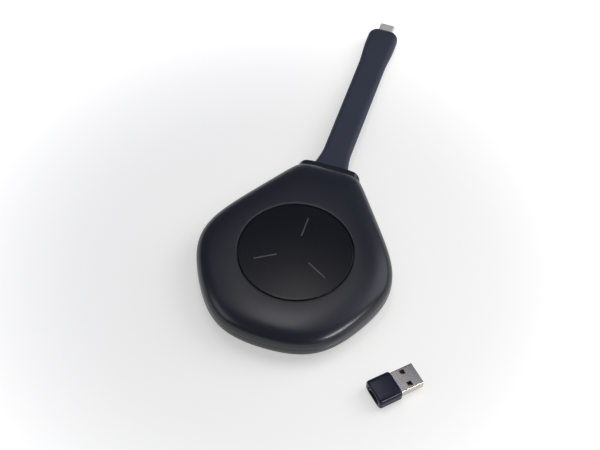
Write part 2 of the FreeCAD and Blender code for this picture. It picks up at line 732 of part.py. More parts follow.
def tail_boot():
    """Strain relief: an anchor inside the housing, a root through the collar, and a flare
    that narrows to the strap's section."""
    low = TAIL_HEIGHT - ANCHOR_HEIGHT / 2
    anchor = block(ANCHOR_WIDTH, ANCHOR_LENGTH, ANCHOR_HEIGHT, 0, ANCHOR_BACK, low)
    anchor = anchor.common(outline_slab(ANCHOR_INSET, low, low + ANCHOR_HEIGHT))
    end = HINGE_Y - STRAP_THICKNESS / 2 - BEND_GAP
    flare = Part.makeLoft(
        [
            section_wire(BOOT_ROOT_WIDTH, BOOT_ROOT_HEIGHT, STRAP_EDGE_RADIUS, COLLAR_FRONT, TAIL_HEIGHT),
            section_wire(
                BOOT_ROOT_WIDTH + (STRAP_WIDTH - BOOT_ROOT_WIDTH) * BOOT_FLARE_SHARE,
                BOOT_ROOT_HEIGHT + (STRAP_THICKNESS - BOOT_ROOT_HEIGHT) * BOOT_FLARE_SHARE,
                STRAP_EDGE_RADIUS,
                (COLLAR_FRONT + end) / 2,
                TAIL_HEIGHT,
            ),
            section_wire(STRAP_WIDTH, STRAP_THICKNESS, STRAP_EDGE_RADIUS, end, TAIL_HEIGHT),
        ],
        True,
        False,
    )
    return fuse([anchor, boot_root(0.0), flare])


def tail_clamp():
    """Steel bar screwed down over the anchor."""
    width = CLAMP_SCREW_SPACING + 2 * CLAMP_END
    clamp = block(width, CLAMP_WIDTH, CLAMP_THICKNESS, 0, ANCHOR_BACK, CLAMP_BOTTOM)
    corners = [edge for edge in clamp.Edges if edge.BoundBox.ZLength > CLAMP_THICKNESS / 2]
    clamp = clamp.makeFillet(CLAMP_CORNER_RADIUS, corners)
    hole = SMALL_SHANK_RADIUS + SCREW_CLEARANCE
    return cut(clamp, *[post(hole, 0, RIM_HEIGHT, place) for place in clamp_screw_places()])


def header_height():
    """Height of the board header, whose middle is level with the leads."""
    return 2 * (TAIL_HEIGHT - BOARD_TOP)


def cable_header():
    """Header on the board, open towards the tail."""
    height = header_height()
    shroud = block(HEADER_WIDTH, HEADER_LENGTH, height, 0, HEADER_START, BOARD_TOP)
    hollow = block(
        HEADER_WIDTH - 2 * HEADER_WALL,
        HEADER_LENGTH - HEADER_WALL,
        height - 2 * HEADER_FLOOR,
        0,
        HEADER_START + HEADER_WALL,
        BOARD_TOP + HEADER_FLOOR,
    )
    return cut(shroud, hollow)


def cable_plug():
    """Plug on the leads, pushed into the header."""
    return block(
        HEADER_WIDTH - 2 * HEADER_WALL - 2 * SOCKET_PLAY,
        HEADER_LENGTH - HEADER_WALL + CABLE_PLUG_PROUD - SOCKET_PLAY,
        header_height() - 2 * HEADER_FLOOR - 2 * SOCKET_PLAY,
        0,
        HEADER_START + HEADER_WALL + SOCKET_PLAY,
        BOARD_TOP + HEADER_FLOOR + SOCKET_PLAY,
    )


def tail_leads():
    """Insulated leads side by side, from the plug to the anchor."""
    start = HEADER_START + HEADER_LENGTH + CABLE_PLUG_PROUD
    leads = []
    for index in range(LEAD_COUNT):
        x = (index - (LEAD_COUNT - 1) / 2) * LEAD_PITCH
        leads.append(Part.makeCylinder(LEAD_RADIUS, ANCHOR_BACK - start, V(x, start, TAIL_HEIGHT), ALONG))
    return leads


# Tail, modelled straight along +Y from its bending axis and then hung at its droop


def hang(shape):
    """Moves a tail piece from its own axis to the housing."""
    placed = shape.copy()
    placed.rotate(V(0, 0, 0), RIGHT, -TAIL_DROOP)
    placed.translate(V(0, HINGE_Y, TAIL_HEIGHT))
    return placed


def tail_strap():
    """Flat strap with a half round end on the bending axis."""
    half = STRAP_THICKNESS / 2
    strap = bar(STRAP_WIDTH, STRAP_THICKNESS, STRAP_EDGE_RADIUS, -half, STRAP_LENGTH)
    near_low = V(0, 0, -half)
    near_high = V(0, 0, half)
    far_low = V(0, STRAP_LENGTH, -half)
    far_high = V(0, STRAP_LENGTH, half)
    side = Part.Wire(
        [
            Part.LineSegment(near_low, far_low).toShape(),
            Part.LineSegment(far_low, far_high).toShape(),
            Part.LineSegment(far_high, near_high).toShape(),
            Part.Arc(near_high, V(0, -half, 0), near_low).toShape(),
        ]
    )
    profile = Part.Face(side).extrude(V(STRAP_WIDTH, 0, 0))
    profile.translate(V(-STRAP_WIDTH / 2, 0, 0))
    return strap.common(profile)


def plug_board_shape():
    """Small board behind the plug's shell."""
    return block(
        PLUG_BOARD_WIDTH,
        PLUG_BOARD_LENGTH,
        PLUG_BOARD_THICKNESS,
        0,
        PLUG_START - PLUG_BOARD_LENGTH,
        -PLUG_BOARD_THICKNESS / 2,
    )


def plug_outer():
    """Plug as a solid bar, buried end included."""
    return bar(PLUG_WIDTH, PLUG_HEIGHT, PLUG_HEIGHT / 2, PLUG_START, PLUG_TIP)


def plug_inner():
    """Space inside the plug's shell."""
    height = PLUG_HEIGHT - 2 * PLUG_WALL
    return bar(PLUG_WIDTH - 2 * PLUG_WALL, height, height / 2, PLUG_START, PLUG_TIP)


def plug_slot():
    """Slot in the plug that the socket's tongue enters."""
    start = PLUG_START + PLUG_BACK
    return block(
        PLUG_SLOT_WIDTH,
        PLUG_TIP - start,
        PLUG_SLOT_HEIGHT,
        0,
        start,
        -PLUG_SLOT_HEIGHT / 2,
    )


def plug_overmold():
    """Grip that widens from the strap's section, with rounded end corners."""
    taper = Part.makeLoft(
        [
            section_wire(STRAP_WIDTH, STRAP_THICKNESS, STRAP_EDGE_RADIUS, STRAP_LENGTH),
            section_wire(
                (STRAP_WIDTH + OVERMOLD_WIDTH) / 2,
                (STRAP_THICKNESS + OVERMOLD_THICKNESS) / 2,
                (STRAP_EDGE_RADIUS + OVERMOLD_EDGE_RADIUS) / 2,
                STRAP_LENGTH + OVERMOLD_TAPER / 2,
            ),
            section_wire(OVERMOLD_WIDTH, OVERMOLD_THICKNESS, OVERMOLD_EDGE_RADIUS, GRIP_START),
        ],
        True,
        False,
    )
    grip = bar(OVERMOLD_WIDTH, OVERMOLD_THICKNESS, OVERMOLD_EDGE_RADIUS, GRIP_START, OVERMOLD_END)
    low = -OVERMOLD_THICKNESS / 2
    plan = block(OVERMOLD_WIDTH, OVERMOLD_LENGTH, OVERMOLD_THICKNESS, 0, STRAP_LENGTH, low)
    corners = [
        edge
        for edge in plan.Edges
        if edge.BoundBox.ZLength > OVERMOLD_THICKNESS / 2 and edge.BoundBox.YMin > GRIP_START
    ]
    plan = plan.makeFillet(OVERMOLD_END_RADIUS, corners)
    body = fuse([taper, grip]).common(plan)
    return cut(body, plug_outer(), plug_board_shape())


def contact_rows(count, pitch, width, height, start, length, gap, outward):
    """Two rows of flat contacts, above and below z = 0, gap apart. Outward is +1 where they
    lie on a tongue and -1 where they line a slot."""
    contacts = []
    for side in (-1, 1):
        face = side * gap / 2
        low = min(face, face + side * outward * height)
        for index in range(count):
            x = (index - (count - 1) / 2) * pitch
            contacts.append(block(width, length, height, x, start, low))
    return contacts


def plug_contacts():
    """Contacts on both walls of the plug's slot."""
    start = PLUG_START + PLUG_BACK
    return contact_rows(
        C_CONTACT_COUNT,
        C_CONTACT_PITCH,
        C_CONTACT_WIDTH,
        C_CONTACT_HEIGHT,
        start,
        PLUG_TIP - PLUG_CONTACT_SETBACK - start,
        PLUG_SLOT_HEIGHT,
        -1,
    )


# Adapter, modelled along +Y with the joint of body and plug at y = 0, then laid in its place


def lay(shape):
    """Moves an adapter piece to where the adapter lies."""
    placed = shape.copy()
    placed.rotate(V(0, 0, 0), UP, ADAPTER_TURN - 90)
    placed.translate(V(ADAPTER_X, ADAPTER_Y, 0))
    return placed


def port_outer():
    """Socket shell as a solid bar."""
    return bar(PORT_WIDTH, PORT_HEIGHT, PORT_HEIGHT / 2, PORT_FRONT, PORT_BACK, ADAPTER_LEVEL)


def port_inner():
    """Space inside the socket shell."""
    height = PORT_HEIGHT - 2 * PORT_WALL
    return bar(PORT_WIDTH - 2 * PORT_WALL, height, height / 2, PORT_FRONT, PORT_BACK, ADAPTER_LEVEL)


def tongue_base():
    """Block that closes the back of the socket shell."""
    low = ADAPTER_LEVEL - PORT_HEIGHT / 2
    return port_inner().common(
        block(PORT_WIDTH, TONGUE_BACK, PORT_HEIGHT, 0, PORT_BACK - TONGUE_BACK, low)
    )


def a_plug_outer():
    """USB-A plug as a solid bar, buried end included."""
    return bar(A_PLUG_WIDTH, A_PLUG_HEIGHT, A_PLUG_EDGE_RADIUS, -A_PLUG_BURIED, A_PLUG_LENGTH, ADAPTER_LEVEL)


def a_plug_inner():
    """Space inside the USB-A shell."""
    return bar(
        A_PLUG_WIDTH - 2 * A_PLUG_WALL,
        A_PLUG_HEIGHT - 2 * A_PLUG_WALL,
        A_PLUG_EDGE_RADIUS - A_PLUG_WALL,
        -A_PLUG_BURIED,
        A_PLUG_LENGTH,
        ADAPTER_LEVEL,
    )


def adapter_board_shape():
    """Board between the socket and the plug."""
    return block(
        ADAPTER_BOARD_WIDTH,
        -A_PLUG_BURIED - PORT_BACK,
        ADAPTER_BOARD_THICKNESS,
        0,
        PORT_BACK,
        ADAPTER_LEVEL - ADAPTER_BOARD_THICKNESS / 2,
    )


def adapter_housing():
    """Moulded body with rounded edges and the socket's mouth at its back."""
    body = bar(ADAPTER_WIDTH, ADAPTER_THICKNESS, ADAPTER_EDGE_RADIUS, -ADAPTER_LENGTH, 0, ADAPTER_LEVEL)
    plan = block(ADAPTER_WIDTH, ADAPTER_LENGTH, ADAPTER_THICKNESS, 0, -ADAPTER_LENGTH, 0)
    corners = [edge for edge in plan.Edges if edge.BoundBox.ZLength > ADAPTER_THICKNESS / 2]
    plan = plan.makeFillet(ADAPTER_CORNER_RADIUS, corners)
    mouth = bar(
        PORT_WIDTH + 2 * PORT_MOUTH,
        PORT_HEIGHT + 2 * PORT_MOUTH,
        PORT_HEIGHT / 2 + PORT_MOUTH,
        -ADAPTER_LENGTH,
        PORT_FRONT,
        ADAPTER_LEVEL,
    )
    return cut(body.common(plan), mouth, port_outer(), adapter_board_shape(), a_plug_outer())


def adapter_port_tongue():
    """Tongue of the socket, with the block that carries it."""
    tongue = block(
        TONGUE_WIDTH,
        TONGUE_LENGTH,
        TONGUE_THICKNESS,
        0,
        PORT_BACK - TONGUE_BACK - TONGUE_LENGTH,
        ADAPTER_LEVEL - TONGUE_THICKNESS / 2,
    )
    return fuse([tongue_base(), tongue])


def adapter_port_contacts():
    """Contacts on both faces of the tongue."""
    length = TONGUE_LENGTH - TONGUE_CONTACT_SETBACK
    rows = contact_rows(
        C_CONTACT_COUNT,
        C_CONTACT_PITCH,
        C_CONTACT_WIDTH,
        C_CONTACT_HEIGHT,
        PORT_BACK - TONGUE_BACK - length,
        length,
        TONGUE_THICKNESS,
        1,
    )
    for contact in rows:
        contact.translate(V(0, 0, ADAPTER_LEVEL))
    return rows


def adapter_plug_shell():
    """USB-A shell with two latch windows in its upper and two in its lower wall."""
    windows = [
        block(
            A_WINDOW_WIDTH,
            A_WINDOW_LENGTH,
            2 * A_PLUG_WALL,
            side * A_WINDOW_SPACING / 2,
            A_PLUG_LENGTH - A_WINDOW_FROM_TIP - A_WINDOW_LENGTH / 2,
            ADAPTER_LEVEL + face * A_PLUG_HEIGHT / 2 - A_PLUG_WALL,
        )
        for side in (-1, 1)
        for face in (-1, 1)
    ]
    return cut(a_plug_outer(), a_plug_inner(), *windows)


def a_tongue_top():
    """Height of the face that carries the USB-A contacts."""
    return ADAPTER_LEVEL - A_PLUG_HEIGHT / 2 + A_PLUG_WALL + A_TONGUE_THICKNESS


def adapter_plug_insulator():
    """Plastic that fills the buried end of the USB-A shell and half of its height beyond."""
    inner = a_plug_inner()
    low = ADAPTER_LEVEL - A_PLUG_HEIGHT / 2
    tongue = inner.common(
        block(
            A_PLUG_WIDTH,
            A_PLUG_BURIED + A_PLUG_LENGTH - A_TONGUE_RECESS,
            a_tongue_top() - low,
            0,
            -A_PLUG_BURIED,
            low,
        )
    )
    back = inner.common(block(A_PLUG_WIDTH, A_PLUG_BURIED, A_PLUG_HEIGHT, 0, -A_PLUG_BURIED, low))
    return fuse([tongue, back])


def adapter_plug_contacts():
    """Four contacts on the USB-A tongue."""
    start = A_PLUG_LENGTH - A_TONGUE_RECESS - A_CONTACT_SETBACK - A_CONTACT_LENGTH
    return [
        block(A_CONTACT_WIDTH, A_CONTACT_LENGTH, A_CONTACT_HEIGHT, x, start, a_tongue_top())
        for x in A_CONTACT_PLACES
    ]


save("top_cover", top_cover())
save("bottom_cover", bottom_cover())
save("foot_pad", post(FOOT_RADIUS, 0, FOOT_THICKNESS))
save("cover_screws", *cover_screws())
save("button_cap", button_cap())
save("light_guide", light_guide())
save("return_pad", return_pad())
save("tact_switch", tact_switch())
save("switch_stem", switch_stem())
save("indicator_leds", *indicator_leds())
save("main_board", main_board())
save("board_screws", *small_screws(BOARD_TOP, board_screw_places()))
save("shield_can", shield_can())
save("processor_chip", chip_under_board(PROCESSOR_SIDE, PROCESSOR_HEIGHT, (PROCESSOR_SIDE - CHIP_ROW) / 2))
save("radio_chip", chip_under_board(RADIO_SIDE, RADIO_HEIGHT, (CHIP_ROW - RADIO_SIDE) / 2))
save("flash_chip", block(FLASH_WIDTH, FLASH_LENGTH, FLASH_HEIGHT, CHIP_ORBIT, -FLASH_LENGTH / 2, BOARD_TOP))
save(
    "power_inductor",
    block(INDUCTOR_SIDE, INDUCTOR_SIDE, INDUCTOR_HEIGHT, -CHIP_ORBIT, -INDUCTOR_SIDE / 2, BOARD_TOP),
)
save(
    "thermal_pad",
    block(
        THERMAL_PAD_SIDE,
        THERMAL_PAD_SIDE,
        THERMAL_PAD_THICKNESS,
        0,
        -THERMAL_PAD_SIDE / 2,
        SPREADER_TOP,
    ),
)
save("heat_spreader", post(SPREADER_RADIUS, FLOOR_TOP, SPREADER_TOP))
save("antenna_left", antenna(-1))
save("antenna_right", antenna(1))
save("cable_header", cable_header())
save("cable_plug", cable_plug())
save("tail_leads", *tail_leads())
save("tail_collar", tail_collar())
save("tail_boot", tail_boot())
save("tail_clamp", tail_clamp())
save("clamp_screws", *small_screws(CLAMP_BOTTOM + CLAMP_THICKNESS, clamp_screw_places()))
save("tail_strap", hang(tail_strap()))
save("plug_overmold", hang(plug_overmold()))
save("plug_board", hang(plug_board_shape()))
save("plug_shell", hang(cut(plug_outer(), plug_inner())))
save("plug_insulator", hang(cut(plug_inner(), plug_slot())))
save("plug_contacts", *[hang(one) for one in plug_contacts()])
save("adapter_housing", lay(adapter_housing()))
save("adapter_port_shell", lay(cut(port_outer(), port_inner())))
save("adapter_port_tongue", lay(adapter_port_tongue()))
save("adapter_port_contacts", *[lay(one) for one in adapter_port_contacts()])
save("adapter_board", lay(adapter_board_shape()))
save("adapter_plug_shell", lay(adapter_plug_shell()))
save("adapter_plug_insulator", lay(adapter_plug_insulator()))
save("adapter_plug_contacts", *[lay(one) for one in adapter_plug_contacts()])
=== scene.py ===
import json
import math

import bmesh
import bpy
from mathutils import Matrix, Vector


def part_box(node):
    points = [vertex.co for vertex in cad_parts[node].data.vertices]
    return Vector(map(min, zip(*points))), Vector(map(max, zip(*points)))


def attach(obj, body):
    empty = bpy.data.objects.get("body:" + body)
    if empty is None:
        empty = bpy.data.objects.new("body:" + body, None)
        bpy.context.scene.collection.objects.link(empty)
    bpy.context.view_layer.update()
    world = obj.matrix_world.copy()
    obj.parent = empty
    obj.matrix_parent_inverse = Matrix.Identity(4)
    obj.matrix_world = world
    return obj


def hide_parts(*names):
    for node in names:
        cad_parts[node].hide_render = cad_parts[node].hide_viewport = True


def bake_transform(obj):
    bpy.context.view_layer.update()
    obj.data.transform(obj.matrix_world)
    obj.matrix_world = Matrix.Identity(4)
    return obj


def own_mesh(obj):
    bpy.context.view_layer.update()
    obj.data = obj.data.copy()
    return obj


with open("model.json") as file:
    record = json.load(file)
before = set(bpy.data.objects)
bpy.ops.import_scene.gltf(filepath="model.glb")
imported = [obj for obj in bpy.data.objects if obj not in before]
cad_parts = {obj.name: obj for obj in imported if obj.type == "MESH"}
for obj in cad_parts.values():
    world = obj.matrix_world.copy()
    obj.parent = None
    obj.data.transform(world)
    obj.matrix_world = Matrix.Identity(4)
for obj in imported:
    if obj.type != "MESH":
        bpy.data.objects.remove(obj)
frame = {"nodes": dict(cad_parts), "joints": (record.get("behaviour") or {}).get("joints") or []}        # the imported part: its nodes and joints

bl_info = {
    "name": "Screen sharing dongle",
    "version": (1, 0, 0),
    "blender": (4, 5, 0),
    "location": "View3D > Sidebar > Dongle",
    "description": "Modelled shells, tail, adapter and procedural finishes for the packed dongle",
    "category": "Object",
}

# Metres: the button's axis is Z, the tail points along +Y and the table is z = 0
MM = 0.001

# Where the tail bends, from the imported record
TAIL_BEND = next(joint for joint in frame["joints"] if joint["name"] == "tail_bend")
HINGE = Vector(TAIL_BEND["pos_m"])

IN_METRES = {"unit": "LENGTH", "precision": 5}


def length(name, description, millimetres):
    """Property that holds a length."""
    return bpy.props.FloatProperty(
        name=name, description=description, default=millimetres * MM, min=0.0, **IN_METRES
    )


def coordinate(name, description, millimetres):
    """Property that holds a place along an axis, on either side of zero."""
    return bpy.props.FloatProperty(
        name=name, description=description, default=millimetres * MM, **IN_METRES
    )


def turn(name, description, degrees):
    """Property that holds an angle."""
    return bpy.props.FloatProperty(
        name=name, description=description, default=math.radians(degrees), subtype="ANGLE"
    )


def number(name, description, value):
    """Property that holds a plain number."""
    return bpy.props.FloatProperty(name=name, description=description, default=value)


def hue(name, description, code):
    """Property that holds a colour, given as an sRGB hex value."""
    return bpy.props.StringProperty(name=name, description=description, default=code)


# Sizes


class DongleHousingSizes(bpy.types.PropertyGroup):
    """Outline, rolled edges and wall of the two shells"""

    front_reach: length("Front", "From the button's axis to the front edge", 50.2)
    flank_reach: length("Flank", "From the button's axis to a flank", 48.5)
    flank_angle: turn("Flank angle", "Direction of a flank, from the tail", 118.0)
    shoulder_angle: turn("Shoulder angle", "Direction of a shoulder, from the tail", 55.3)
    tail_reach: length("Tail end", "From the button's axis to the end that the tail leaves", 58.5)
    tail_corner: length("Tail corner", "Half the width of the tail end between its corners", 15.2)
    corner_power: number("Corner power", "How sharply the five edges meet", 5.7)
    tail_corner_power: number("Tail corner power", "How sharply the tail end meets the shoulders", 26.0)
    roll_power: number("Roll power", "How full the rolled edge is", 3.0)
    seam_height: length("Seam", "Height where the two shells meet", 8.8)
    rim_height: length("Rim", "Height of the top round the button", 18.0)
    underside: length("Underside", "Height of the lower shell's flat face", 0.6)
    underside_radius: length("Underside radius", "Radius of the lower shell's flat face", 40.0)
    wall: length("Wall", "Thickness of the shells", 1.8)
    seam_chamfer: length("Seam chamfer", "Small bevel of both shells at the seam", 0.14)
    crown_radius: length("Crown radius", "Radius that the upper roll closes on", 27.7)
    lip_height: length("Lip height", "How far the lower shell's lip stands over the seam", 1.4)
    lip_thickness: length("Lip thickness", "Thickness of the lip", 1.0)
    lip_clearance: length("Lip clearance", "Gap between the lip and the upper shell", 0.1)


class DongleButtonSizes(bpy.types.PropertyGroup):
    """Button, its well in the upper shell, its marks, hooks and soft ring"""

    radius: length("Radius", "Radius of the button", 28.25)
    well_radius: length("Well radius", "Radius of the hole that the button sits in", 28.7)
    well_edge: length("Well edge", "Rounding of the well's edge", 0.3)
    well_wall: length("Well wall", "Thickness of the well's wall", 1.5)
    edge_top: length("Edge height", "Height of the button's edge", 17.85)
    dome: length("Dome", "Rise of the button's middle", 0.6)
    edge_radius: length("Edge radius", "Rounding of the button's edge", 0.35)
    underside: length("Underside", "Height of the button's underside", 16.15)
    skirt_bottom: length("Skirt", "Height of the skirt's end", 15.05)
    skirt_thickness: length("Skirt thickness", "Thickness of the skirt", 1.8)
    plunger_radius: length("Plunger radius", "Radius of the plunger", 2.2)
    plunger_bottom: length("Plunger end", "Height of the plunger's end", 10.3)
    ledge_radius: length("Ledge radius", "Inner radius of the ledge under the button", 25.3)
    ledge_top: length("Ledge top", "Height of the ledge", 13.75)
    ledge_bottom: length("Ledge bottom", "Height of the ledge's underside", 12.55)
    mark_start: length("Mark start", "From the axis to a mark's inner end", 9.4)
    mark_end: length("Mark end", "From the axis to a mark's outer end", 21.0)
    mark_width: length("Mark width", "Width of a mark's slot", 0.71)
    hook_width: length("Hook width", "Width of a snap hook", 5.0)
    hook_thickness: length("Hook thickness", "Thickness of a hook's leg", 1.4)
    hook_gap: length("Hook gap", "Gap between a hook's leg and the ledge", 0.6)
    hook_barb: length("Hook barb", "How far a barb reaches out", 1.8)
    hook_barb_height: length("Barb height", "Height of a barb", 1.0)
    hook_play: length("Hook play", "Gap between a barb and the ledge", 0.05)
    travel: length("Travel", "How far the button moves", 0.5)
    pad_width: length("Pad width", "Width of the soft ring under the button", 2.2)
    pad_bulge: length("Pad bulge", "How far the soft ring's sides swell", 0.2)


class DongleTailSizes(bpy.types.PropertyGroup):
    """Collar, moulding and plug of the tail"""

    collar_width: length("Collar width", "Width of the collar", 32.6)
    collar_height: length("Collar height", "Height of the collar", 8.4)
    collar_corner: length("Collar corner", "Rounding of the collar's ends", 4.0)
    collar_proud: length("Collar proud", "How far the collar stands out of the housing", 1.3)
    collar_depth: length("Collar depth", "How deep the collar sits in the housing", 2.6)
    collar_edge: length("Collar edge", "Rounding of the collar's edge", 0.24)
    root_width: length("Root width", "Width of the moulding at the collar", 18.4)
    root_height: length("Root height", "Height of the moulding at the collar", 7.5)
    anchor_start: length("Anchor start", "Distance from the axis to the anchor's inner end", 49.5)
    clamp_room: length("Clamp room", "From there to where the moulding starts, behind the clamp", 4.2)
    flare: length("Flare", "Length over which the root narrows to the strap", 13.0)
    flare_power: number("Flare power", "How quickly the root narrows next to the collar", 1.7)
    strap_width: length("Strap width", "Width of the strap", 14.6)
    strap_height: length("Strap height", "Thickness of the strap", 5.2)
    strap_edge: length("Strap edge", "Rounding of the strap's sides", 2.4)
    bend: length("Bend", "Half the length of the stretch that bends", 8.0)
    grip_start: length("Grip start", "From the bend to where the moulding widens", 69.0)
    grip_taper: length("Grip taper", "Length over which it widens", 17.0)
    grip_end: length("Grip end", "From the bend to the grip's end", 96.0)
    grip_width: length("Grip width", "Width of the grip", 16.2)
    grip_height: length("Grip height", "Thickness of the grip", 7.0)
    grip_edge: length("Grip edge", "Rounding of the grip's sides", 2.6)
    grip_corner: length("Grip corner", "Rounding of the grip's end corners, seen from above", 4.0)
    grip_end_edge: length("Grip end edge", "Rounding of the grip's end, seen from the side", 1.0)
    table_gap: length("Table gap", "Gap between the grip and the table", 0.2)
    plug_width: length("Plug width", "Width of the USB-C plug", 8.25)
    plug_height: length("Plug height", "Height of the USB-C plug", 2.4)
    plug_length: length("Plug length", "Length of the plug beyond the grip", 6.65)
    plug_wall: length("Plug wall", "Thickness of the plug's shell", 0.3)
    plug_buried: length("Plug buried", "Length of the plug inside the grip", 3.0)


class DongleAdapterSizes(bpy.types.PropertyGroup):
    """Place, body, socket and plug of the loose adapter"""

    place_x: coordinate("X", "Where the adapter's body meets its plug, along X", 65.1)
    place_y: coordinate("Y", "Where the adapter's body meets its plug, along Y", -48.2)
    heading: turn("Heading", "Direction of the adapter's plug, from +X", 45.7)
    width: length("Width", "Width of the body", 14.2)
    body_length: length("Length", "Length of the body", 12.4)
    thickness: length("Thickness", "Thickness of the body", 6.8)
    edge: length("Edge", "Rounding of the body's long edges", 2.0)
    corner: length("Corner", "Rounding of the body's corners, seen from above", 1.2)
    end_edge: length("End edge", "Rounding of the body's ends, seen from the side", 0.7)
    port_width: length("Port width", "Width of the socket's shell", 8.94)
    port_height: length("Port height", "Height of the socket's shell", 3.16)
    port_mouth: length("Port mouth", "How much wider the body's mouth is", 0.5)
    port_depth: length("Port depth", "Depth of the socket's shell", 6.5)
    port_inset: length("Port inset", "How far the shell lies inside the body", 0.4)
    port_wall: length("Port wall", "Thickness of the socket's shell", 0.3)
    plug_width: length("Plug width", "Width of the USB-A plug", 12.0)
    plug_height: length("Plug height", "Height of the USB-A plug", 4.5)
    plug_length: length("Plug length", "Length of the plug beyond the body", 11.8)
    plug_wall: length("Plug wall", "Thickness of the plug's shell", 0.3)
    plug_edge: length("Plug edge", "Rounding of the plug's edges", 0.5)
    plug_buried: length("Plug buried", "Length of the plug inside the body", 2.4)
    window_width: length("Window width", "Width of a latch window", 2.5)
    window_length: length("Window length", "Length of a latch window", 2.4)
    window_spacing: length("Window spacing", "Between the middles of two windows", 7.0)
    window_from_tip: length("Window place", "From the plug's tip to a window's middle", 6.3)


class DongleFastenerSizes(bpy.types.PropertyGroup):
    """Screws, their posts and the tail's leads"""

    screw_orbit: length("Screw orbit", "From the axis to a housing screw", 35.4)
    screw_seat: length("Screw seat", "Height that the housing screws' heads sit at", 3.3)
    screw_length: length("Screw length", "Length of a housing screw's shank", 9.0)
    screw_radius: length("Screw radius", "Radius of a housing screw's shank", 1.0)
    head_radius: length("Head radius", "Radius of a housing screw's head", 1.9)
    head_height: length("Head height", "Height of a housing screw's head", 1.3)
    screw_clearance: length("Screw clearance", "Gap round a housing screw in the lower shell", 0.15)
    post_wall: length("Post wall", "Wall of plastic round a screw", 1.5)
    post_joint: length("Post joint", "Height where the posts of both shells meet", 6.8)
    board_orbit: length("Board screw orbit", "From the axis to a board screw", 27.6)
    board_bottom: length("Board underside", "Height of the board's underside", 6.8)
    board_top: length("Board top", "Height of the board's top", 8.0)
    clamp_spacing: length("Clamp screw spacing", "Between the two clamp screws", 23.2)
    clamp_y: length("Clamp screw place", "From the axis to the clamp screws", 51.5)
    clamp_bottom: length("Clamp underside", "Height of the clamp's underside", 11.0)
    clamp_thickness: length("Clamp thickness", "Thickness of the clamp", 1.0)
    small_radius: length("Small screw radius", "Radius of a small screw's shank", 0.8)
    small_head_radius: length("Small head radius", "Radius of a small screw's head", 1.5)
    small_head_height: length("Small head height", "Height of a small screw's head", 0.8)
    small_length: length("Small screw length", "Length of a small screw's shank", 4.0)
    recess_width: length("Recess width", "Width of a screw's cross recess", 0.5)
    recess_depth: length("Recess depth", "Depth of a screw's cross recess", 0.5)
    lead_pitch: length("Lead pitch", "Between the middles of two leads", 1.25)
    lead_radius: length("Lead radius", "Radius of an insulated lead", 0.5)
    lead_count: bpy.props.IntProperty(name="Lead count", description="Number of leads", default=8, min=1)


class DongleFinishes(bpy.types.PropertyGroup):
    """First colour of each outer finish"""

    housing: hue("Housing", "Satin black of the housing", "#191a20")
    button: hue("Button", "Satin black of the button", "#0c0d13")
    trim: hue("Trim", "Half gloss black of the collar", "#15161b")
    elastomer: hue("Tail", "Matt black of the tail", "#292d3b")
    adapter: hue("Adapter", "Blue black of the adapter", "#121729")
    nickel: hue("Nickel", "Nickel plate of the adapter's plug", "#c6c2ba")
    guide: hue("Marks", "Milky plastic of the light marks", "#3b3c41")


class DongleStage(bpy.types.PropertyGroup):
    """Camera, floor and even light"""

    azimuth: turn("Azimuth", "Direction that the camera looks from", 15.58)
    elevation: turn("Elevation", "Height of the camera over the table, as an angle", 54.6)
    roll: turn("Roll", "Turn of the camera about its own axis", 2.37)
    distance: length("Distance", "From the camera to what it looks at", 800.0)
    target: bpy.props.FloatVectorProperty(
        name="Target",
        description="What the camera looks at",
        default=(-4.4 * MM, 21.8 * MM, 9 * MM),
        **IN_METRES,
    )
    lens: number("Lens", "Focal length in millimetres", 96.0)
    sensor: number("Sensor", "Width of the camera's sensor in millimetres", 36.0)
    paper: hue("Paper", "Colour of the floor", "#f6f4ea")
    glow_start: length("Glow start", "From the axis to where the floor starts to fade to white", 80.0)
    glow_end: length("Glow end", "From the axis to where the floor is full white", 320.0)
    glow_least: number("Least glow", "Share of full white that the floor gives near the object", 0.22)
    sky: hue("Sky", "Colour of the even light from all round", "#c3cdf0")
    sky_strength: number("Sky strength", "Strength of the even light from all round", 0.26)


SIZE_GROUPS = {
    "dongle_housing": DongleHousingSizes,
    "dongle_button": DongleButtonSizes,
    "dongle_tail": DongleTailSizes,
    "dongle_adapter": DongleAdapterSizes,
    "dongle_fasteners": DongleFastenerSizes,
    "dongle_finishes": DongleFinishes,
    "dongle_stage": DongleStage,
}

# Directions in degrees, clockwise from the tail
MARK_ANGLES = (0, 120, 240)
HOOK_ANGLES = (60, 180, 300)
COVER_SCREW_ANGLES = (55, 140, 220, 305)
BOARD_SCREW_ANGLES = (38, 180, 322)

# How finely the meshes follow their shapes
RING_POINTS = 360
TAIL_CROWDING = 0.6
ROLL_ROWS = 30
INNER_ROLL_ROWS = 10
DOME_ROWS = 24
PAD_ROWS = 8
CORNER_STEPS = 5
ADAPTER_CORNER_STEPS = 8
GRIP_CORNER_STEPS = 14
LATHE_POINTS = 160
SMALL_LATHE_POINTS = 40
SECTION_STEPS = 8
SIDE_POINTS = 6
COLLAR_SIDE_POINTS = 10
MOULDING_STEP = 1.2 * MM
SHARP_ANGLE = math.radians(34)

# How near a lathe shape comes to its axis before it closes, as a share of its radius: a post or
# a tool, the button, the foot
POST_SHARE = 1 / 8
BUTTON_SHARE = 1 / 200
FOOT_SHARE = 1 / 40

# Largest rounding of an oblong's corners, as a share of half its width or height
FULL_ROUND = 0.98

# A screw's shape, as shares of its head's height, its head's radius and its shank's radius
HEAD_BASE = 0.55
HEAD_CROWN = 0.78
RECESS_REACH = 1.2
SHANK_TIP = 0.8

# How far a cutting tool reaches past what it cuts
PAST = 1 * MM

# Sides of the round parts of screws and leads
HEAD_SIDES = 32
SHANK_SIDES = 24
LEAD_SIDES = 20


# Meshes


def clamped(share):
    """Share held between 0 and 1."""
    return min(max(share, 0.0), 1.0)


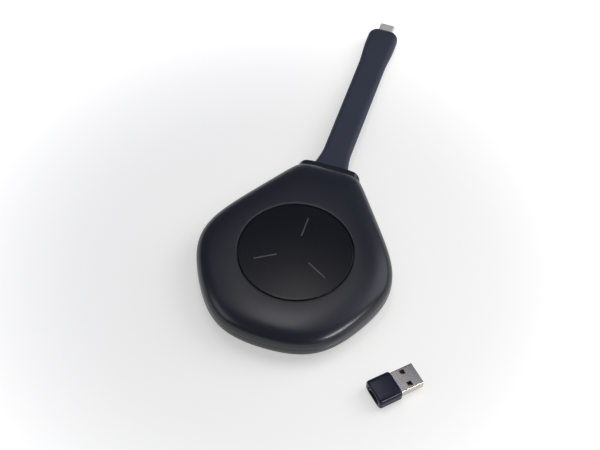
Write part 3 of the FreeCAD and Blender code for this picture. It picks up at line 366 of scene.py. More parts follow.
def eased(share):
    """Smooth step from 0 to 1."""
    share = clamped(share)
    return share * share * (3 - 2 * share)


def blended(first, last, share):
    """Value between two."""
    return first + (last - first) * share


def linked(name, mesh):
    """New object at the origin for a mesh."""
    obj = bpy.data.objects.new(name, mesh)
    bpy.context.scene.collection.objects.link(obj)
    return obj


def smoothed(obj):
    """Points a closed mesh's faces outwards and shades it smooth, but for its sharp edges."""
    shape = bmesh.new()
    shape.from_mesh(obj.data)
    bmesh.ops.recalc_face_normals(shape, faces=shape.faces)
    for face in shape.faces:
        face.smooth = True
    shape.to_mesh(obj.data)
    shape.free()
    obj.data.set_sharp_from_angle(angle=SHARP_ANGLE)
    return obj


def lofted(name, rings, cyclic=False):
    """Closed mesh through rings of equally many points. Cyclic joins the last ring to the first,
    otherwise both ends close on their middle points."""
    count = len(rings[0])
    points = [point for ring in rings for point in ring]
    faces = []
    spans = len(rings) if cyclic else len(rings) - 1
    for row in range(spans):
        here = row * count
        there = (row + 1) % len(rings) * count
        for index in range(count):
            after = (index + 1) % count
            faces.append((here + index, here + after, there + after, there + index))
    if not cyclic:
        for first, ring in ((0, rings[0]), (len(points) - count, rings[-1])):
            middle = len(points)
            points.append(sum(ring, Vector()) / count)
            faces += [(first + index, first + (index + 1) % count, middle) for index in range(count)]
    mesh = bpy.data.meshes.new(name)
    mesh.from_pydata(points, [], faces)
    return smoothed(linked(name, mesh))


def polar(radius, angle, height=0.0):
    """Point at a radius, in radians clockwise from the tail."""
    return Vector((radius * math.sin(angle), radius * math.cos(angle), height))


def circle(radius, height, place=Vector(), count=LATHE_POINTS):
    """Ring round an upright axis through place."""
    return [place + polar(radius, math.tau * step / count, height) for step in range(count)]


def turned(name, profile, place=Vector(), count=LATHE_POINTS):
    """Lathe shape round an upright axis. Its profile of (radius, height) points starts and ends
    next to the axis, which closes both ends."""
    return lofted(name, [circle(radius, height, place, count) for radius, height in profile])


def softened(points, radius):
    """Open line of (x, y) points with its inner corners rounded."""
    points = [Vector(point) for point in points]
    result = [points[0]]
    for before, corner, after in zip(points, points[1:], points[2:]):
        back = before - corner
        on = after - corner
        half = back.angle(on) / 2
        reach = min(radius / math.tan(half), back.length / 2, on.length / 2)
        start = corner + back.normalized() * reach
        end = corner + on.normalized() * reach
        for step in range(CORNER_STEPS + 1):
            share = step / CORNER_STEPS
            result.append(start * (1 - share) ** 2 + corner * 2 * share * (1 - share) + end * share**2)
    result.append(points[-1])
    return result


def boxed(name, low, high):
    """Plain box between two corners, for a tool or a hidden rib."""
    mesh = bpy.data.meshes.new(name)
    shape = bmesh.new()
    bmesh.ops.create_cube(shape, size=1.0)
    size = Vector(high) - Vector(low)
    middle = (Vector(high) + Vector(low)) / 2
    place = Matrix.Translation(middle) @ Matrix.Diagonal((*size, 1))
    bmesh.ops.transform(shape, verts=shape.verts, matrix=place)
    shape.to_mesh(mesh)
    shape.free()
    return linked(name, mesh)


def joined(pieces):
    """One object from several that don't touch."""
    shape = bmesh.new()
    for piece in pieces:
        shape.from_mesh(piece.data)
    shape.to_mesh(pieces[0].data)
    shape.free()
    for piece in pieces[1:]:
        bpy.data.objects.remove(piece)
    return pieces[0]


def plain_mesh(obj):
    """Replaces an object's mesh by what its modifiers make of it."""
    evaluated = obj.evaluated_get(bpy.context.evaluated_depsgraph_get())
    mesh = bpy.data.meshes.new_from_object(evaluated)
    obj.modifiers.clear()
    obj.data = mesh
    return obj


def combined(obj, tool, operation):
    """Joins or cuts an object with a tool, which is removed."""
    modifier = obj.modifiers.new(operation.title(), "BOOLEAN")
    modifier.operation = operation
    modifier.solver = "EXACT"
    modifier.object = tool
    plain_mesh(obj)
    bpy.data.objects.remove(tool)
    obj.data.set_sharp_from_angle(angle=SHARP_ANGLE)
    return obj


def evened(obj):
    """Weighs a mesh's normals by area, so that flat faces beside rounded edges look flat."""
    modifier = obj.modifiers.new("Even", "WEIGHTED_NORMAL")
    modifier.keep_sharp = True
    return plain_mesh(obj)


def dressed(piece, material, body, slot, *nodes):
    """Gives a piece its finish and its body, and hides the nodes that it stands for. The slot is not used.
    """
    piece.data.materials.clear()
    piece.data.materials.append(material)
    if body:
        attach(piece, body)
    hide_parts(*nodes)
    return piece


# Finishes


def linear(code):
    """Linear colour from an sRGB hex value."""
    channels = [int(code[start : start + 2], 16) / 255 for start in (1, 3, 5)]
    return [c / 12.92 if c <= 0.04045 else ((c + 0.055) / 1.055) ** 2.4 for c in channels] + [1.0]


def add(tree, kind, inputs=None, **settings):
    """Adds a node with its settings, and its inputs as values or as links from other nodes' outputs."""
    node = tree.nodes.new(kind)
    for key, value in settings.items():
        setattr(node, key, value)
    for key, value in (inputs or {}).items():
        if isinstance(value, bpy.types.NodeSocket):
            tree.links.new(value, node.inputs[key])
        else:
            node.inputs[key].default_value = value
    return node


# Two noises of a mean of a half are added up, and their sum seldom leaves this span
WEAR_LEAST = 0.6
WEAR_MOST = 1.4


def grained(name, dark, light, rough, grain, bump, stretch=(1, 1, 1), metallic=0.0, patch=30.0, **fixed):
    """Finish whose colour drifts between two hex values in patches of patch millimetres, whose
    roughness runs over a range and whose surface has a grain in millimetres, raised by bump
    millimetres. Sockets that are the same all over are given by name."""
    material = bpy.data.materials.new(name)
    material.use_nodes = True
    tree = material.node_tree
    tree.nodes.clear()
    place = add(tree, "ShaderNodeTexCoord").outputs["Object"]
    along = add(tree, "ShaderNodeMapping", {"Vector": place, "Scale": stretch}).outputs["Vector"]
    drift = add(tree, "ShaderNodeTexNoise", {"Vector": along, "Scale": 1 / (patch * MM), "Detail": 3.0})
    fine = add(tree, "ShaderNodeTexNoise", {"Vector": along, "Scale": 1 / (grain * MM), "Detail": 2.0})
    colour = add(tree, "ShaderNodeMix", {"Factor": drift.outputs["Fac"]}, data_type="RGBA")
    colour.inputs[6].default_value = linear(dark)
    colour.inputs[7].default_value = linear(light)
    both = {0: drift.outputs["Fac"], 1: fine.outputs["Fac"]}
    wear = add(tree, "ShaderNodeMath", both, operation="ADD")
    span = {"From Min": WEAR_LEAST, "From Max": WEAR_MOST, "To Min": rough[0], "To Max": rough[1]}
    gloss = add(tree, "ShaderNodeMapRange", {"Value": wear.outputs[0]} | span)
    relief = add(
        tree, "ShaderNodeBump", {"Height": fine.outputs["Fac"], "Strength": 1.0, "Distance": bump * MM}
    )
    shader = add(
        tree,
        "ShaderNodeBsdfPrincipled",
        {
            "Base Color": colour.outputs[2],
            "Roughness": gloss.outputs["Result"],
            "Normal": relief.outputs["Normal"],
            "Metallic": metallic,
        },
    )
    for key, value in fixed.items():
        shader.inputs[key.replace("_", " ").title().replace("Ior", "IOR")].default_value = value
    output = add(tree, "ShaderNodeOutputMaterial")
    tree.links.new(shader.outputs["BSDF"], output.inputs["Surface"])
    return material


def colours():
    """The colours that a user may change."""
    return bpy.context.scene.dongle_finishes


def satin_abs_blend(name, dark, light, rough, **fixed):
    """Polycarbonate and ABS, moulded in a spark-eroded tool: a soft broad gloss over near black.
    The real grain is about 0.05 mm, drawn at 0.4 mm so that it shows at all."""
    return grained(name, dark, light, rough, grain=0.4, bump=0.0012, patch=45.0, ior=1.5, **fixed)


def ground_abs():
    """ABS from a finely ground tool: half gloss black trim, with a faint moulding ripple."""
    name = "ground_black_abs"
    dark = colours().trim
    return grained(name, dark, "#191a20", rough=(0.24, 0.3), grain=1.5, bump=0.0008, ior=1.53)


def moulded_elastomer():
    """Thermoplastic elastomer with a matt, slightly dusty skin: pale soft edges, no clear gloss.
    The grain of the real skin is finer, and drawn at 0.5 mm."""
    name = "matt_moulded_elastomer"
    dark = colours().elastomer
    return grained(
        name, dark, "#2f3341", rough=(0.52, 0.66), grain=0.5, bump=0.006, patch=22.0, ior=1.5
    )


def moulded_adapter_abs():
    """ABS from a finely ground tool: half gloss, with crisp light along the edges."""
    name = "half_gloss_moulded_abs"
    dark = colours().adapter
    rough = (0.22, 0.28)
    return grained(name, dark, "#161b2e", rough, grain=0.4, bump=0.001, specular_ior_level=0.25)


def nickel_plated_steel():
    """Drawn steel with bright nickel plate: nearly a mirror, its gloss varies faintly in streaks."""
    return grained(
        "drawn_nickel_plated_steel",
        colours().nickel,
        "#bfbbb3",
        rough=(0.09, 0.12),
        grain=0.8,
        bump=0.00002,
        stretch=(1.0, 0.12, 1.0),
        metallic=1.0,
        patch=6.0,
    )


def pale_sheen_nickel():
    """The same plate over bead-blasted steel, as on the tail's small plug: it scatters light, so it looks
    pale from every side.
    Its colour is also painted paler than the plate's own, as a painted sheen for the light that the plug
    catches."""
    name = "bead_blasted_plate_with_painted_sheen"
    rough = (0.66, 0.76)
    return grained(name, "#ebe7de", "#dcd7cc", rough, grain=0.5, bump=0.002, metallic=1.0, patch=6.0)


def shaded_socket_nickel():
    """Nickel plate of the adapter's socket, its colour painted far darker than the plugs' plate as painted
    shade of the socket's hollow, so that the socket looks like a dark slot.
    """
    name = "socket_nickel_painted_shade"
    rough = (0.32, 0.42)
    return grained(name, "#4a4a4e", "#55565a", rough, grain=0.5, bump=0.001, metallic=1.0, patch=6.0)


def milky_polycarbonate():
    """Light guide of filled polycarbonate: dull grey while its lights are off."""
    name = "milky_polycarbonate"
    dark = colours().guide
    return grained(name, dark, "#46484c", rough=(0.3, 0.4), grain=0.6, bump=0.001, patch=8.0, ior=1.58)


# How the grain of a surface is drawn out along its axes
EVEN = (1, 1, 1)
ROLLED = (0.15, 1, 1)
BRUSHED = (0.05, 1, 1)
FIBRED = (0.3, 1, 1)
EXTRUDED = (1, 0.2, 1)
PLATED = (1, 0.3, 1)

# Finishes of the inner and hidden pieces, by the record's slots, as grained() takes them: name,
# two hex colours, roughness range, grain and relief in millimetres, stretch, metallic
INNER_FINISHES = {
    # moulded silicone rubber, matt and slightly pale
    "pad_silicone": ("moulded_silicone", "#3a3b3d", "#444548", (0.6, 0.7), 0.6, 0.004),
    # steel, zinc plated and passivated: cloudy grey blue
    "screw_steel": ("zinc_plated_steel", "#8f949b", "#a3a7ad", (0.25, 0.4), 0.5, 0.002, EVEN, 1.0),
    # rolled strip steel with tin plate: soft lines along the roll
    "plated_steel": ("tin_plated_strip", "#a9adb2", "#bfc1c4", (0.28, 0.42), 0.5, 0.002, ROLLED, 1.0),
    # aluminium plate, brushed one way
    "spreader_aluminium": ("brushed_aluminium", "#b8bbbf", "#caccd0", (0.3, 0.48), 0.3, 0.004, BRUSHED, 1.0),
    # glass epoxy laminate under green solder mask: the weave shows as a fine ripple
    "pcb": ("green_solder_mask", "#0c3a22", "#11472b", (0.25, 0.35), 0.5, 0.004),
    # transfer moulded epoxy of the chips: matt charcoal
    "chip_epoxy": ("moulded_chip_epoxy", "#1d1e20", "#26272a", (0.5, 0.62), 0.4, 0.003),
    # pressed ferrite: dull dark grey with a sandy grain
    "ferrite": ("pressed_ferrite", "#2c2a29", "#3a3736", (0.65, 0.8), 0.5, 0.01),
    # filled silicone sheet that carries the heat: chalky pale blue
    "thermal_silicone": ("filled_silicone_sheet", "#7f95a8", "#8ca1b3", (0.7, 0.82), 0.8, 0.008),
    # white ceramic and phosphor of the lights
    "led_white": ("white_led_package", "#d9d6c8", "#e8e5d6", (0.35, 0.5), 0.4, 0.001),
    # glass filled polyester of the connectors: warm off-white with fibre streaks
    "connector_plastic": ("glass_filled_polyester", "#cfc9b8", "#dbd6c8", (0.4, 0.52), 0.6, 0.003, FIBRED),
    # extruded polyethylene round the leads
    "lead_insulation": ("extruded_insulation", "#5a1d1d", "#6b2626", (0.38, 0.5), 0.5, 0.002, EXTRUDED),
    # liquid crystal polymer of the plugs' insulators: matt black, slightly pale in places
    "black_insulator": ("black_moulded_polymer", "#111113", "#191a1d", (0.42, 0.55), 0.4, 0.002),
    # gold over nickel on the contacts, its colour painted darker than gold as the painted shade inside the
    # plugs and the socket
    "gold_contact": ("gold_plated_bronze_painted_shade", "#9a7340", "#ab824b", (0.18, 0.28), 0.3, 0.001, PLATED, 1.0),
    # natural rubber compound of the foot: dead matt and sooty
    "foot_rubber": ("moulded_foot_rubber", "#1a1a1b", "#222223", (0.75, 0.88), 0.6, 0.012),
}


def inner_finish(slot):
    """Finish of one of the record's slots, made once."""
    values = INNER_FINISHES[slot]
    return bpy.data.materials.get(values[0]) or grained(*values)


def housing_finish():
    """The satin black of both shells, made once."""
    name = "satin_spark_eroded_housing"
    made = bpy.data.materials.get(name)
    return made or satin_abs_blend(name, colours().housing, "#1c1e25", rough=(0.27, 0.32))


def button_finish():
    """The housing's plastic with an anti-glare skin, which sends back less of the light."""
    name = "satin_spark_eroded_button"
    dark = colours().button
    return satin_abs_blend(name, dark, "#0e0f15", rough=(0.22, 0.27), specular_ior_level=0.28)


# Housing


def outline_radius(angle, inset=0.0):
    """From the button's axis to the housing's outline, moved in by inset."""
    sizes = bpy.context.scene.dongle_housing
    shoulder_reach = sizes.tail_corner * math.sin(sizes.shoulder_angle)
    shoulder_reach += sizes.tail_reach * math.cos(sizes.shoulder_angle)
    edges = (
        (math.pi, sizes.front_reach),
        (sizes.flank_angle, sizes.flank_reach),
        (-sizes.flank_angle, sizes.flank_reach),
        (sizes.shoulder_angle, shoulder_reach),
        (-sizes.shoulder_angle, shoulder_reach),
    )
    total = 0.0
    for edge_angle, reach in edges:
        facing = math.cos(angle - edge_angle)
        if facing > 0:
            total += (facing / (reach - inset)) ** sizes.corner_power
    pentagon = total ** (1 / sizes.corner_power)
    tail_facing = max(0.0, math.cos(angle)) / (sizes.tail_reach - inset)
    power = sizes.tail_corner_power
    return (pentagon**power + tail_facing**power) ** (-1 / power)


def outline_y(x, inset):
    """Where the tail end's outline, moved in by inset, lies at a distance x from the middle."""
    low = 0.0
    high = math.radians(45)
    close_enough = 1e-7
    while high - low > close_enough:
        middle = (low + high) / 2
        if outline_radius(middle, inset) * math.sin(middle) < abs(x):
            low = middle
        else:
            high = middle
    return outline_radius(low, inset) * math.cos(low)


def ring_angles():
    """Angles of a housing ring's points, closer together near the tail's tight corners."""
    turns = [math.tau * step / RING_POINTS for step in range(RING_POINTS)]
    return [turn - TAIL_CROWDING * math.sin(turn) for turn in turns]


def outline_ring(inset, height):
    """Ring along the outline, moved in by inset."""
    return [polar(outline_radius(angle, inset), angle, height) for angle in ring_angles()]


def round_ring(radius, height):
    """Circle with a housing ring's points."""
    return [polar(radius, angle, height) for angle in ring_angles()]


def roll_rings(inset, inner_radius, edge_height, face_height, stop_radius, rows):
    """Rings over the rolled edge, from the outline at edge_height towards a flat face of
    inner_radius at face_height, as far as stop_radius."""
    power = bpy.context.scene.dongle_housing.roll_power
    spans = []
    for angle in ring_angles():
        reach = outline_radius(angle, inset) - inner_radius
        share = (stop_radius - inner_radius) / reach
        spans.append((angle, reach, math.atan2((1 - share**power) ** (1 / power), share)))
    rings = []
    for row in range(rows + 1):
        ring = []
        for angle, reach, last in spans:
            turned_by = last * row / rows
            across = math.cos(turned_by)
            up = math.sin(turned_by)
            scale = (across**power + up**power) ** (-1 / power)
            height = edge_height + (face_height - edge_height) * up * scale
            ring.append(polar(inner_radius + reach * across * scale, angle, height))
        rings.append(ring)
    return rings


def well_edge_rings():
    """Rings round the rounded edge of the button's well, from its top to its wall."""
    housing = bpy.context.scene.dongle_housing
    button = bpy.context.scene.dongle_button
    edge = button.well_edge
    rings = []
    for step in range(CORNER_STEPS + 1):
        turned_by = blended(math.pi / 2, math.pi, step / CORNER_STEPS)
        radius = button.well_radius + edge * (1 + math.cos(turned_by))
        rings.append(round_ring(radius, housing.rim_height - edge * (1 - math.sin(turned_by))))
    return rings


def tail_opening():
    """Oblong bar through the housing's end, a little larger than the collar."""
    sizes = bpy.context.scene.dongle_tail
    play = 0.12 * MM
    width = sizes.collar_width + play
    height = sizes.collar_height + play
    end = bpy.context.scene.dongle_housing.tail_reach + 5 * PAST
    rings = [oblong(width, height, sizes.collar_corner, y, HINGE.z) for y in (sizes.anchor_start, end)]
    return lofted("opening", rings)


def screw_places(orbit, angles):
    """Where screws stand on a circle."""
    return [polar(orbit, math.radians(angle)) for angle in angles]


def clamp_screw_places():
    """Where the two clamp screws stand."""
    sizes = bpy.context.scene.dongle_fasteners
    return [Vector((side * sizes.clamp_spacing / 2, sizes.clamp_y, 0)) for side in (-1, 1)]


def upper_shell():
    """Upper shell: rolled edge, rounded well edge, well, ledge and screw posts."""
    housing = bpy.context.scene.dongle_housing
    button = bpy.context.scene.dongle_button
    screws = bpy.context.scene.dongle_fasteners
    chamfer = housing.seam_chamfer
    seam = housing.seam_height
    well_edge = button.well_radius + button.well_edge
    outer = roll_rings(0.0, housing.crown_radius, seam, housing.rim_height, well_edge, ROLL_ROWS)
    for point in outer[0]:
        point.z += chamfer
    inner = roll_rings(
        housing.wall,
        housing.crown_radius,
        seam,
        housing.rim_height - housing.wall,
        button.well_radius + button.well_wall,
        INNER_ROLL_ROWS,
    )
    well = (
        (button.well_radius, button.ledge_top),
        (button.ledge_radius, button.ledge_top),
        (button.ledge_radius, button.ledge_bottom),
        (button.well_radius + button.well_wall, button.ledge_bottom),
    )
    rings = [outline_ring(chamfer, seam)] + outer + well_edge_rings()[1:]
    rings += [round_ring(radius, height) for radius, height in well]
    rings += inner[::-1]
    shell = lofted("upper_shell", rings, cyclic=True)
    radius = screws.screw_radius
    outside = radius + screws.post_wall
    spare = 0.5 * MM
    bore_top = screws.screw_seat + screws.screw_length + spare
    top = housing.rim_height - housing.wall / 2
    near_axis = radius * POST_SHARE
    profile = [(near_axis, bore_top), (radius, bore_top), (radius, screws.post_joint)]
    profile += [(outside, screws.post_joint), (outside, top), (near_axis, top)]
    posts = [
        turned("post", profile, place, SMALL_LATHE_POINTS)
        for place in screw_places(screws.screw_orbit, COVER_SCREW_ANGLES)
    ]
    combined(shell, joined(posts), "UNION")
    return combined(shell, tail_opening(), "DIFFERENCE")


def column(place, radius, bottom, top):
    """Upright cylinder, for a tool or a post."""
    near_axis = radius * POST_SHARE
    profile = [(near_axis, bottom), (radius, bottom), (radius, top), (near_axis, top)]
    return turned("column", profile, place, SMALL_LATHE_POINTS)


def lower_shell():
    """Lower shell: underside with the foot's recess, rolled edge, lip, screw towers and posts."""
    housing = bpy.context.scene.dongle_housing
    screws = bpy.context.scene.dongle_fasteners
    chamfer = housing.seam_chamfer
    seam = housing.seam_height
    foot_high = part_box("foot_pad")[1]
    foot_play = 0.1 * MM
    recess = foot_high.x + foot_play
    floor = housing.underside + housing.wall
    outer = roll_rings(
        0.0, housing.underside_radius, seam, housing.underside, housing.underside_radius, ROLL_ROWS
    )
    for point in outer[0]:
        point.z -= chamfer
    inner_radius = housing.underside_radius - housing.wall
    inner = roll_rings(housing.wall, inner_radius, seam, floor, inner_radius, INNER_ROLL_ROWS)
    lip_outer = housing.wall + housing.lip_clearance
    lip_inner = lip_outer + housing.lip_thickness
    lip = (
        (chamfer, seam),
        (lip_outer, seam),
        (lip_outer, seam + housing.lip_height),
        (lip_inner, seam + housing.lip_height),
        (lip_inner, seam - housing.lip_height),
    )
    middle = 2 * MM
    rings = [round_ring(middle, foot_high.z), round_ring(recess, foot_high.z)]
    rings.append(round_ring(recess, housing.underside))
    rings += outer[::-1]
    rings += [outline_ring(inset, height) for inset, height in lip]
    rings += inner[2:]
    rings.append(round_ring(middle, floor))
    shell = lofted("lower_shell", rings)
    inside_floor = housing.underside + housing.wall / 2
    head = screws.head_radius + screws.screw_clearance
    small = screws.small_radius + screws.post_wall
    places = screw_places(screws.screw_orbit, COVER_SCREW_ANGLES)
    posts = [column(place, head + screws.post_wall, inside_floor, screws.post_joint) for place in places]
    posts += [
        column(place, small, inside_floor, screws.board_bottom)
        for place in screw_places(screws.board_orbit, BOARD_SCREW_ANGLES)
    ]
    clamp_post_bottom = 3 * MM
    posts += [
        column(place, small, clamp_post_bottom, screws.clamp_bottom) for place in clamp_screw_places()
    ]
    combined(shell, joined(posts), "UNION")
    tools = [column(place, head, 0.0, screws.screw_seat) for place in places]
    combined(shell, joined(tools), "DIFFERENCE")
    shank = screws.screw_radius + screws.screw_clearance
    tools = [column(place, shank, 0.0, screws.post_joint + PAST) for place in places]
    combined(shell, joined(tools), "DIFFERENCE")
    return combined(shell, tail_opening(), "DIFFERENCE")


def foot():
    """Foot: flat soft pad with rounded edges."""
    low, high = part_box("foot_pad")
    edge = 0.3 * MM
    radius = high.x
    near_axis = radius * FOOT_SHARE
    profile = [(near_axis, high.z), (radius, high.z), (radius, low.z), (near_axis, low.z)]
    return turned("foot", softened(profile, edge))


class DONGLE_OT_housing(bpy.types.Operator):
    """Model the two housing shells and the foot"""

    bl_idname = "dongle.housing"
    bl_label = "Housing shells"

    def execute(self, context):
        finish = housing_finish()
        dressed(upper_shell(), finish, "housing", "housing_plastic", "top_cover")
        dressed(lower_shell(), finish, "housing", "housing_plastic", "bottom_cover")
        dressed(foot(), inner_finish("foot_rubber"), "housing", "foot_rubber", "foot_pad")
        return {"FINISHED"}


# Button


def snap_hook(angle):
    """Snap hook under the button, with its barb under the ledge."""
    sizes = bpy.context.scene.dongle_button
    outer = sizes.ledge_radius - sizes.hook_gap
    barb_top = sizes.ledge_bottom - sizes.hook_play
    barb_bottom = barb_top - sizes.hook_barb_height
    half = sizes.hook_width / 2
    inner = outer - sizes.hook_thickness
    tip = outer + sizes.hook_barb
    root = sizes.underside + sizes.edge_radius
    barb_middle = (barb_bottom + barb_top) / 2
    profile = [(inner, root), (inner, barb_bottom), (outer, barb_bottom), (tip, barb_middle)]
    profile += [(tip, barb_top), (outer, barb_top), (outer, root)]
    points = [Vector((side * half, y, z)) for side in (-1, 1) for y, z in profile]
    count = len(profile)
    faces = [tuple(range(count)), tuple(range(2 * count - 1, count - 1, -1))]
    for index in range(count):
        after = (index + 1) % count
        faces.append((after, index, count + index, count + after))
    mesh = bpy.data.meshes.new("hook")
    mesh.from_pydata(points, [], faces)
    mesh.transform(Matrix.Rotation(-math.radians(angle), 4, "Z"))
    return smoothed(linked("hook", mesh))


def mark_slot(angle):
    """Tool that cuts one mark's slot through the button."""
    sizes = bpy.context.scene.dongle_button
    half = sizes.mark_width / 2
    low = (-half, sizes.mark_start, sizes.underside - PAST)
    high = (half, sizes.mark_end, sizes.edge_top + sizes.dome + PAST)
    tool = boxed("slot", low, high)
    tool.data.transform(Matrix.Rotation(-math.radians(angle), 4, "Z"))
    return tool


def button_top():
    """Button: shallow dome, rounded edge, skirt, plunger, hooks and the marks' slots."""
    sizes = bpy.context.scene.dongle_button
    edge = sizes.edge_radius
    rim = sizes.radius - edge
    near_axis = sizes.radius * BUTTON_SHARE
    profile = []
    for row in range(DOME_ROWS + 1):
        radius = blended(near_axis, rim, row / DOME_ROWS)
        profile.append((radius, sizes.edge_top + sizes.dome * (1 - (radius / sizes.radius) ** 2)))
    start = profile[-1][1]
    for step in range(1, CORNER_STEPS + 1):
        turned_by = math.pi / 2 * step / CORNER_STEPS
        profile.append((rim + edge * math.sin(turned_by), start - edge * (1 - math.cos(turned_by))))
    inner = sizes.radius - sizes.skirt_thickness
    corners = [(sizes.radius, start - 2 * edge), (sizes.radius, sizes.skirt_bottom)]
    corners += [(inner, sizes.skirt_bottom), (inner, sizes.underside)]
    corners += [(sizes.plunger_radius, sizes.underside), (sizes.plunger_radius, sizes.plunger_bottom)]
    corners.append((near_axis, sizes.plunger_bottom))
    inner_edge = 0.2 * MM
    profile += [tuple(point) for point in softened(corners, inner_edge)]
    button = turned("button_top", profile)
    combined(button, joined([snap_hook(angle) for angle in HOOK_ANGLES]), "UNION")
    return combined(button, joined([mark_slot(angle) for angle in MARK_ANGLES]), "DIFFERENCE")


def return_ring():
    """Soft ring that lifts the button: flat where it is pressed, its two sides swell."""
    sizes = bpy.context.scene.dongle_button
    low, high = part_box("return_pad")
    outer = high.x - sizes.pad_bulge
    inner = high.x - sizes.pad_width + sizes.pad_bulge
    shares = [step / PAD_ROWS for step in range(PAD_ROWS + 1)]
    profile = []
    for side, wall, order in ((1, outer, shares), (-1, inner, shares[::-1])):
        for share in order:
            swell = sizes.pad_bulge * math.sin(math.pi * share)
            profile.append((wall + side * swell, blended(low.z, high.z, share)))
    return lofted("return_ring", [circle(radius, height) for radius, height in profile], cyclic=True)


class DONGLE_OT_button(bpy.types.Operator):
    """Model the button and its soft ring, and finish its light guide"""

    bl_idname = "dongle.button"
    bl_label = "Button"

    def execute(self, context):
        dressed(button_top(), button_finish(), "button", "button_plastic", "button_cap")
        rubber = inner_finish("pad_silicone")
        ring = dressed(return_ring(), rubber, "housing", "pad_silicone", "return_pad")
        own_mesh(ring)
        finish_node("light_guide", milky_polycarbonate())
        return {"FINISHED"}


# Tail


def oblong(width, height, edge, y=0.0, z=0.0):
    """Rounded rectangle across the Y axis."""
    edge = min(edge, width / 2 * FULL_ROUND, height / 2 * FULL_ROUND)
    points = []
    for quarter in range(4):
        side_x = 1 if quarter in (0, 3) else -1
        side_z = 1 if quarter in (0, 1) else -1
        for step in range(SECTION_STEPS + 1):
            turned_by = math.pi / 2 * (quarter + step / SECTION_STEPS)
            x = side_x * (width / 2 - edge) + edge * math.cos(turned_by)
            up = side_z * (height / 2 - edge) + edge * math.sin(turned_by)
            points.append(Vector((x, y, z + up)))
    return points


def spread(points, per_side=SIDE_POINTS):
    """Closed ring with extra points along its straight stretches."""
    result = []
    for index, point in enumerate(points):
        following = points[(index + 1) % len(points)]
        result.append(point)
        if (index + 1) % (SECTION_STEPS + 1) == 0:
            for step in range(1, per_side):
                result.append(point.lerp(following, step / per_side))
    return result


def tail_droop():
    """How far the tail hangs at rest, until its grip lies on the table."""
    sizes = bpy.context.scene.dongle_tail
    return math.asin((HINGE.z - sizes.grip_height / 2 - sizes.table_gap) / sizes.grip_end)


def hang_matrix():
    """From the tail's own axis to its place at rest."""
    return Matrix.Translation(HINGE) @ Matrix.Rotation(-tail_droop(), 4, "X")


def hung(point):
    """Point of the tail's moulding at rest: level in the housing, drooping past the bend."""
    bend = bpy.context.scene.dongle_tail.bend
    droop = tail_droop()
    share = clamped((point.y + bend) / (2 * bend))
    slope = droop * share
    drop = math.tan(droop) * bend * share**2
    if point.y > bend:
        drop = point.y * math.sin(droop)
    along = point.y * math.cos(droop) if point.y > 0 else point.y
    y = HINGE.y + along + point.z * math.sin(slope)
    return Vector((point.x, y, HINGE.z - drop + point.z * math.cos(slope)))


def rounded_away(y, radius):
    """How far a corner of radius at the grip's end has drawn a side in, at a distance y."""
    end = bpy.context.scene.dongle_tail.grip_end
    into = max(y - (end - radius), 0.0)
    return radius - math.sqrt(max(0.0, radius**2 - into**2))


def moulding_section(y):
    """Section of the tail's moulding at a distance y from the bend."""
    sizes = bpy.context.scene.dongle_tail
    front = bpy.context.scene.dongle_housing.tail_reach + sizes.collar_proud - HINGE.y
    narrowed = 1 - (1 - clamped((y - front) / sizes.flare)) ** sizes.flare_power
    width = blended(sizes.root_width, sizes.strap_width, narrowed)
    height = blended(sizes.root_height, sizes.strap_height, narrowed)
    widened = eased((y - sizes.grip_start) / sizes.grip_taper)
    width = blended(width, sizes.grip_width, widened)
    height = blended(height, sizes.grip_height, widened)
    edge = blended(sizes.strap_edge, sizes.grip_edge, widened)
    width -= 2 * rounded_away(y, sizes.grip_corner)
    height -= 2 * rounded_away(y, sizes.grip_end_edge)
    return spread(oblong(width, height, edge, y))


def moulding_stations():
    """Distances from the bend of the moulding's sections, closer together where it is rounded."""
    sizes = bpy.context.scene.dongle_tail
    start = sizes.anchor_start + sizes.clamp_room - HINGE.y
    corner_start = sizes.grip_end - sizes.grip_corner
    count = math.ceil((corner_start - start) / MOULDING_STEP)
    stations = [blended(start, corner_start, index / count) for index in range(count)]
    for index in range(GRIP_CORNER_STEPS + 1):
        turned_by = math.pi / 2 * index / GRIP_CORNER_STEPS
        stations.append(corner_start + sizes.grip_corner * math.sin(turned_by))
    return stations


def tail_moulding():
    """Strap, strain relief and grip as the one moulding that they look like, with the recess
    that holds the plug."""
    sizes = bpy.context.scene.dongle_tail
    rings = [moulding_section(y) for y in moulding_stations()]
    clearance = 0.02 * MM
    width = sizes.plug_width + clearance
    height = sizes.plug_height + clearance
    for y in (sizes.grip_end, sizes.grip_end - sizes.plug_buried):
        rings.append(spread(oblong(width, height, sizes.plug_height / 2, y)))
    return lofted("tail_moulding", [[hung(point) for point in ring] for ring in rings])


def collar_ring():
    """Half gloss trim round the tail's root: it follows the housing's outline and stands proud."""
    sizes = bpy.context.scene.dongle_tail
    play = 0.1 * MM
    window = oblong(sizes.root_width + play, sizes.root_height + play, sizes.strap_edge)
    window = spread(window, COLLAR_SIDE_POINTS)
    edge = sizes.collar_edge

    def placed(ring, inset):
        """Ring laid along the housing's outline, moved in by inset."""
        return [Vector((point.x, outline_y(point.x, inset), HINGE.z + point.z)) for point in ring]

    def outside(shrink):
        """The collar's outer ring, smaller by shrink all round."""
        width = sizes.collar_width - 2 * shrink
        height = sizes.collar_height - 2 * shrink
        return spread(oblong(width, height, sizes.collar_corner - shrink), COLLAR_SIDE_POINTS)

    rings = [placed(window, sizes.collar_depth), placed(window, -sizes.collar_proud + edge / 2)]
    lip = [point * (1 + edge / point.length / 2) for point in window]
    rings.append(placed(lip, -sizes.collar_proud))
    halfway = [first.lerp(second, 0.5) for first, second in zip(lip, outside(edge))]
    rings.append(placed(halfway, -sizes.collar_proud))
    for step in range(CORNER_STEPS + 1):
        turned_by = math.pi / 2 * step / CORNER_STEPS
        shrink = edge * (1 - math.sin(turned_by))
        rings.append(placed(outside(shrink), -sizes.collar_proud + edge * (1 - math.cos(turned_by))))
    rings.append(placed(outside(0.0), sizes.collar_depth))
    return lofted("tail_collar_trim", rings, cyclic=True)


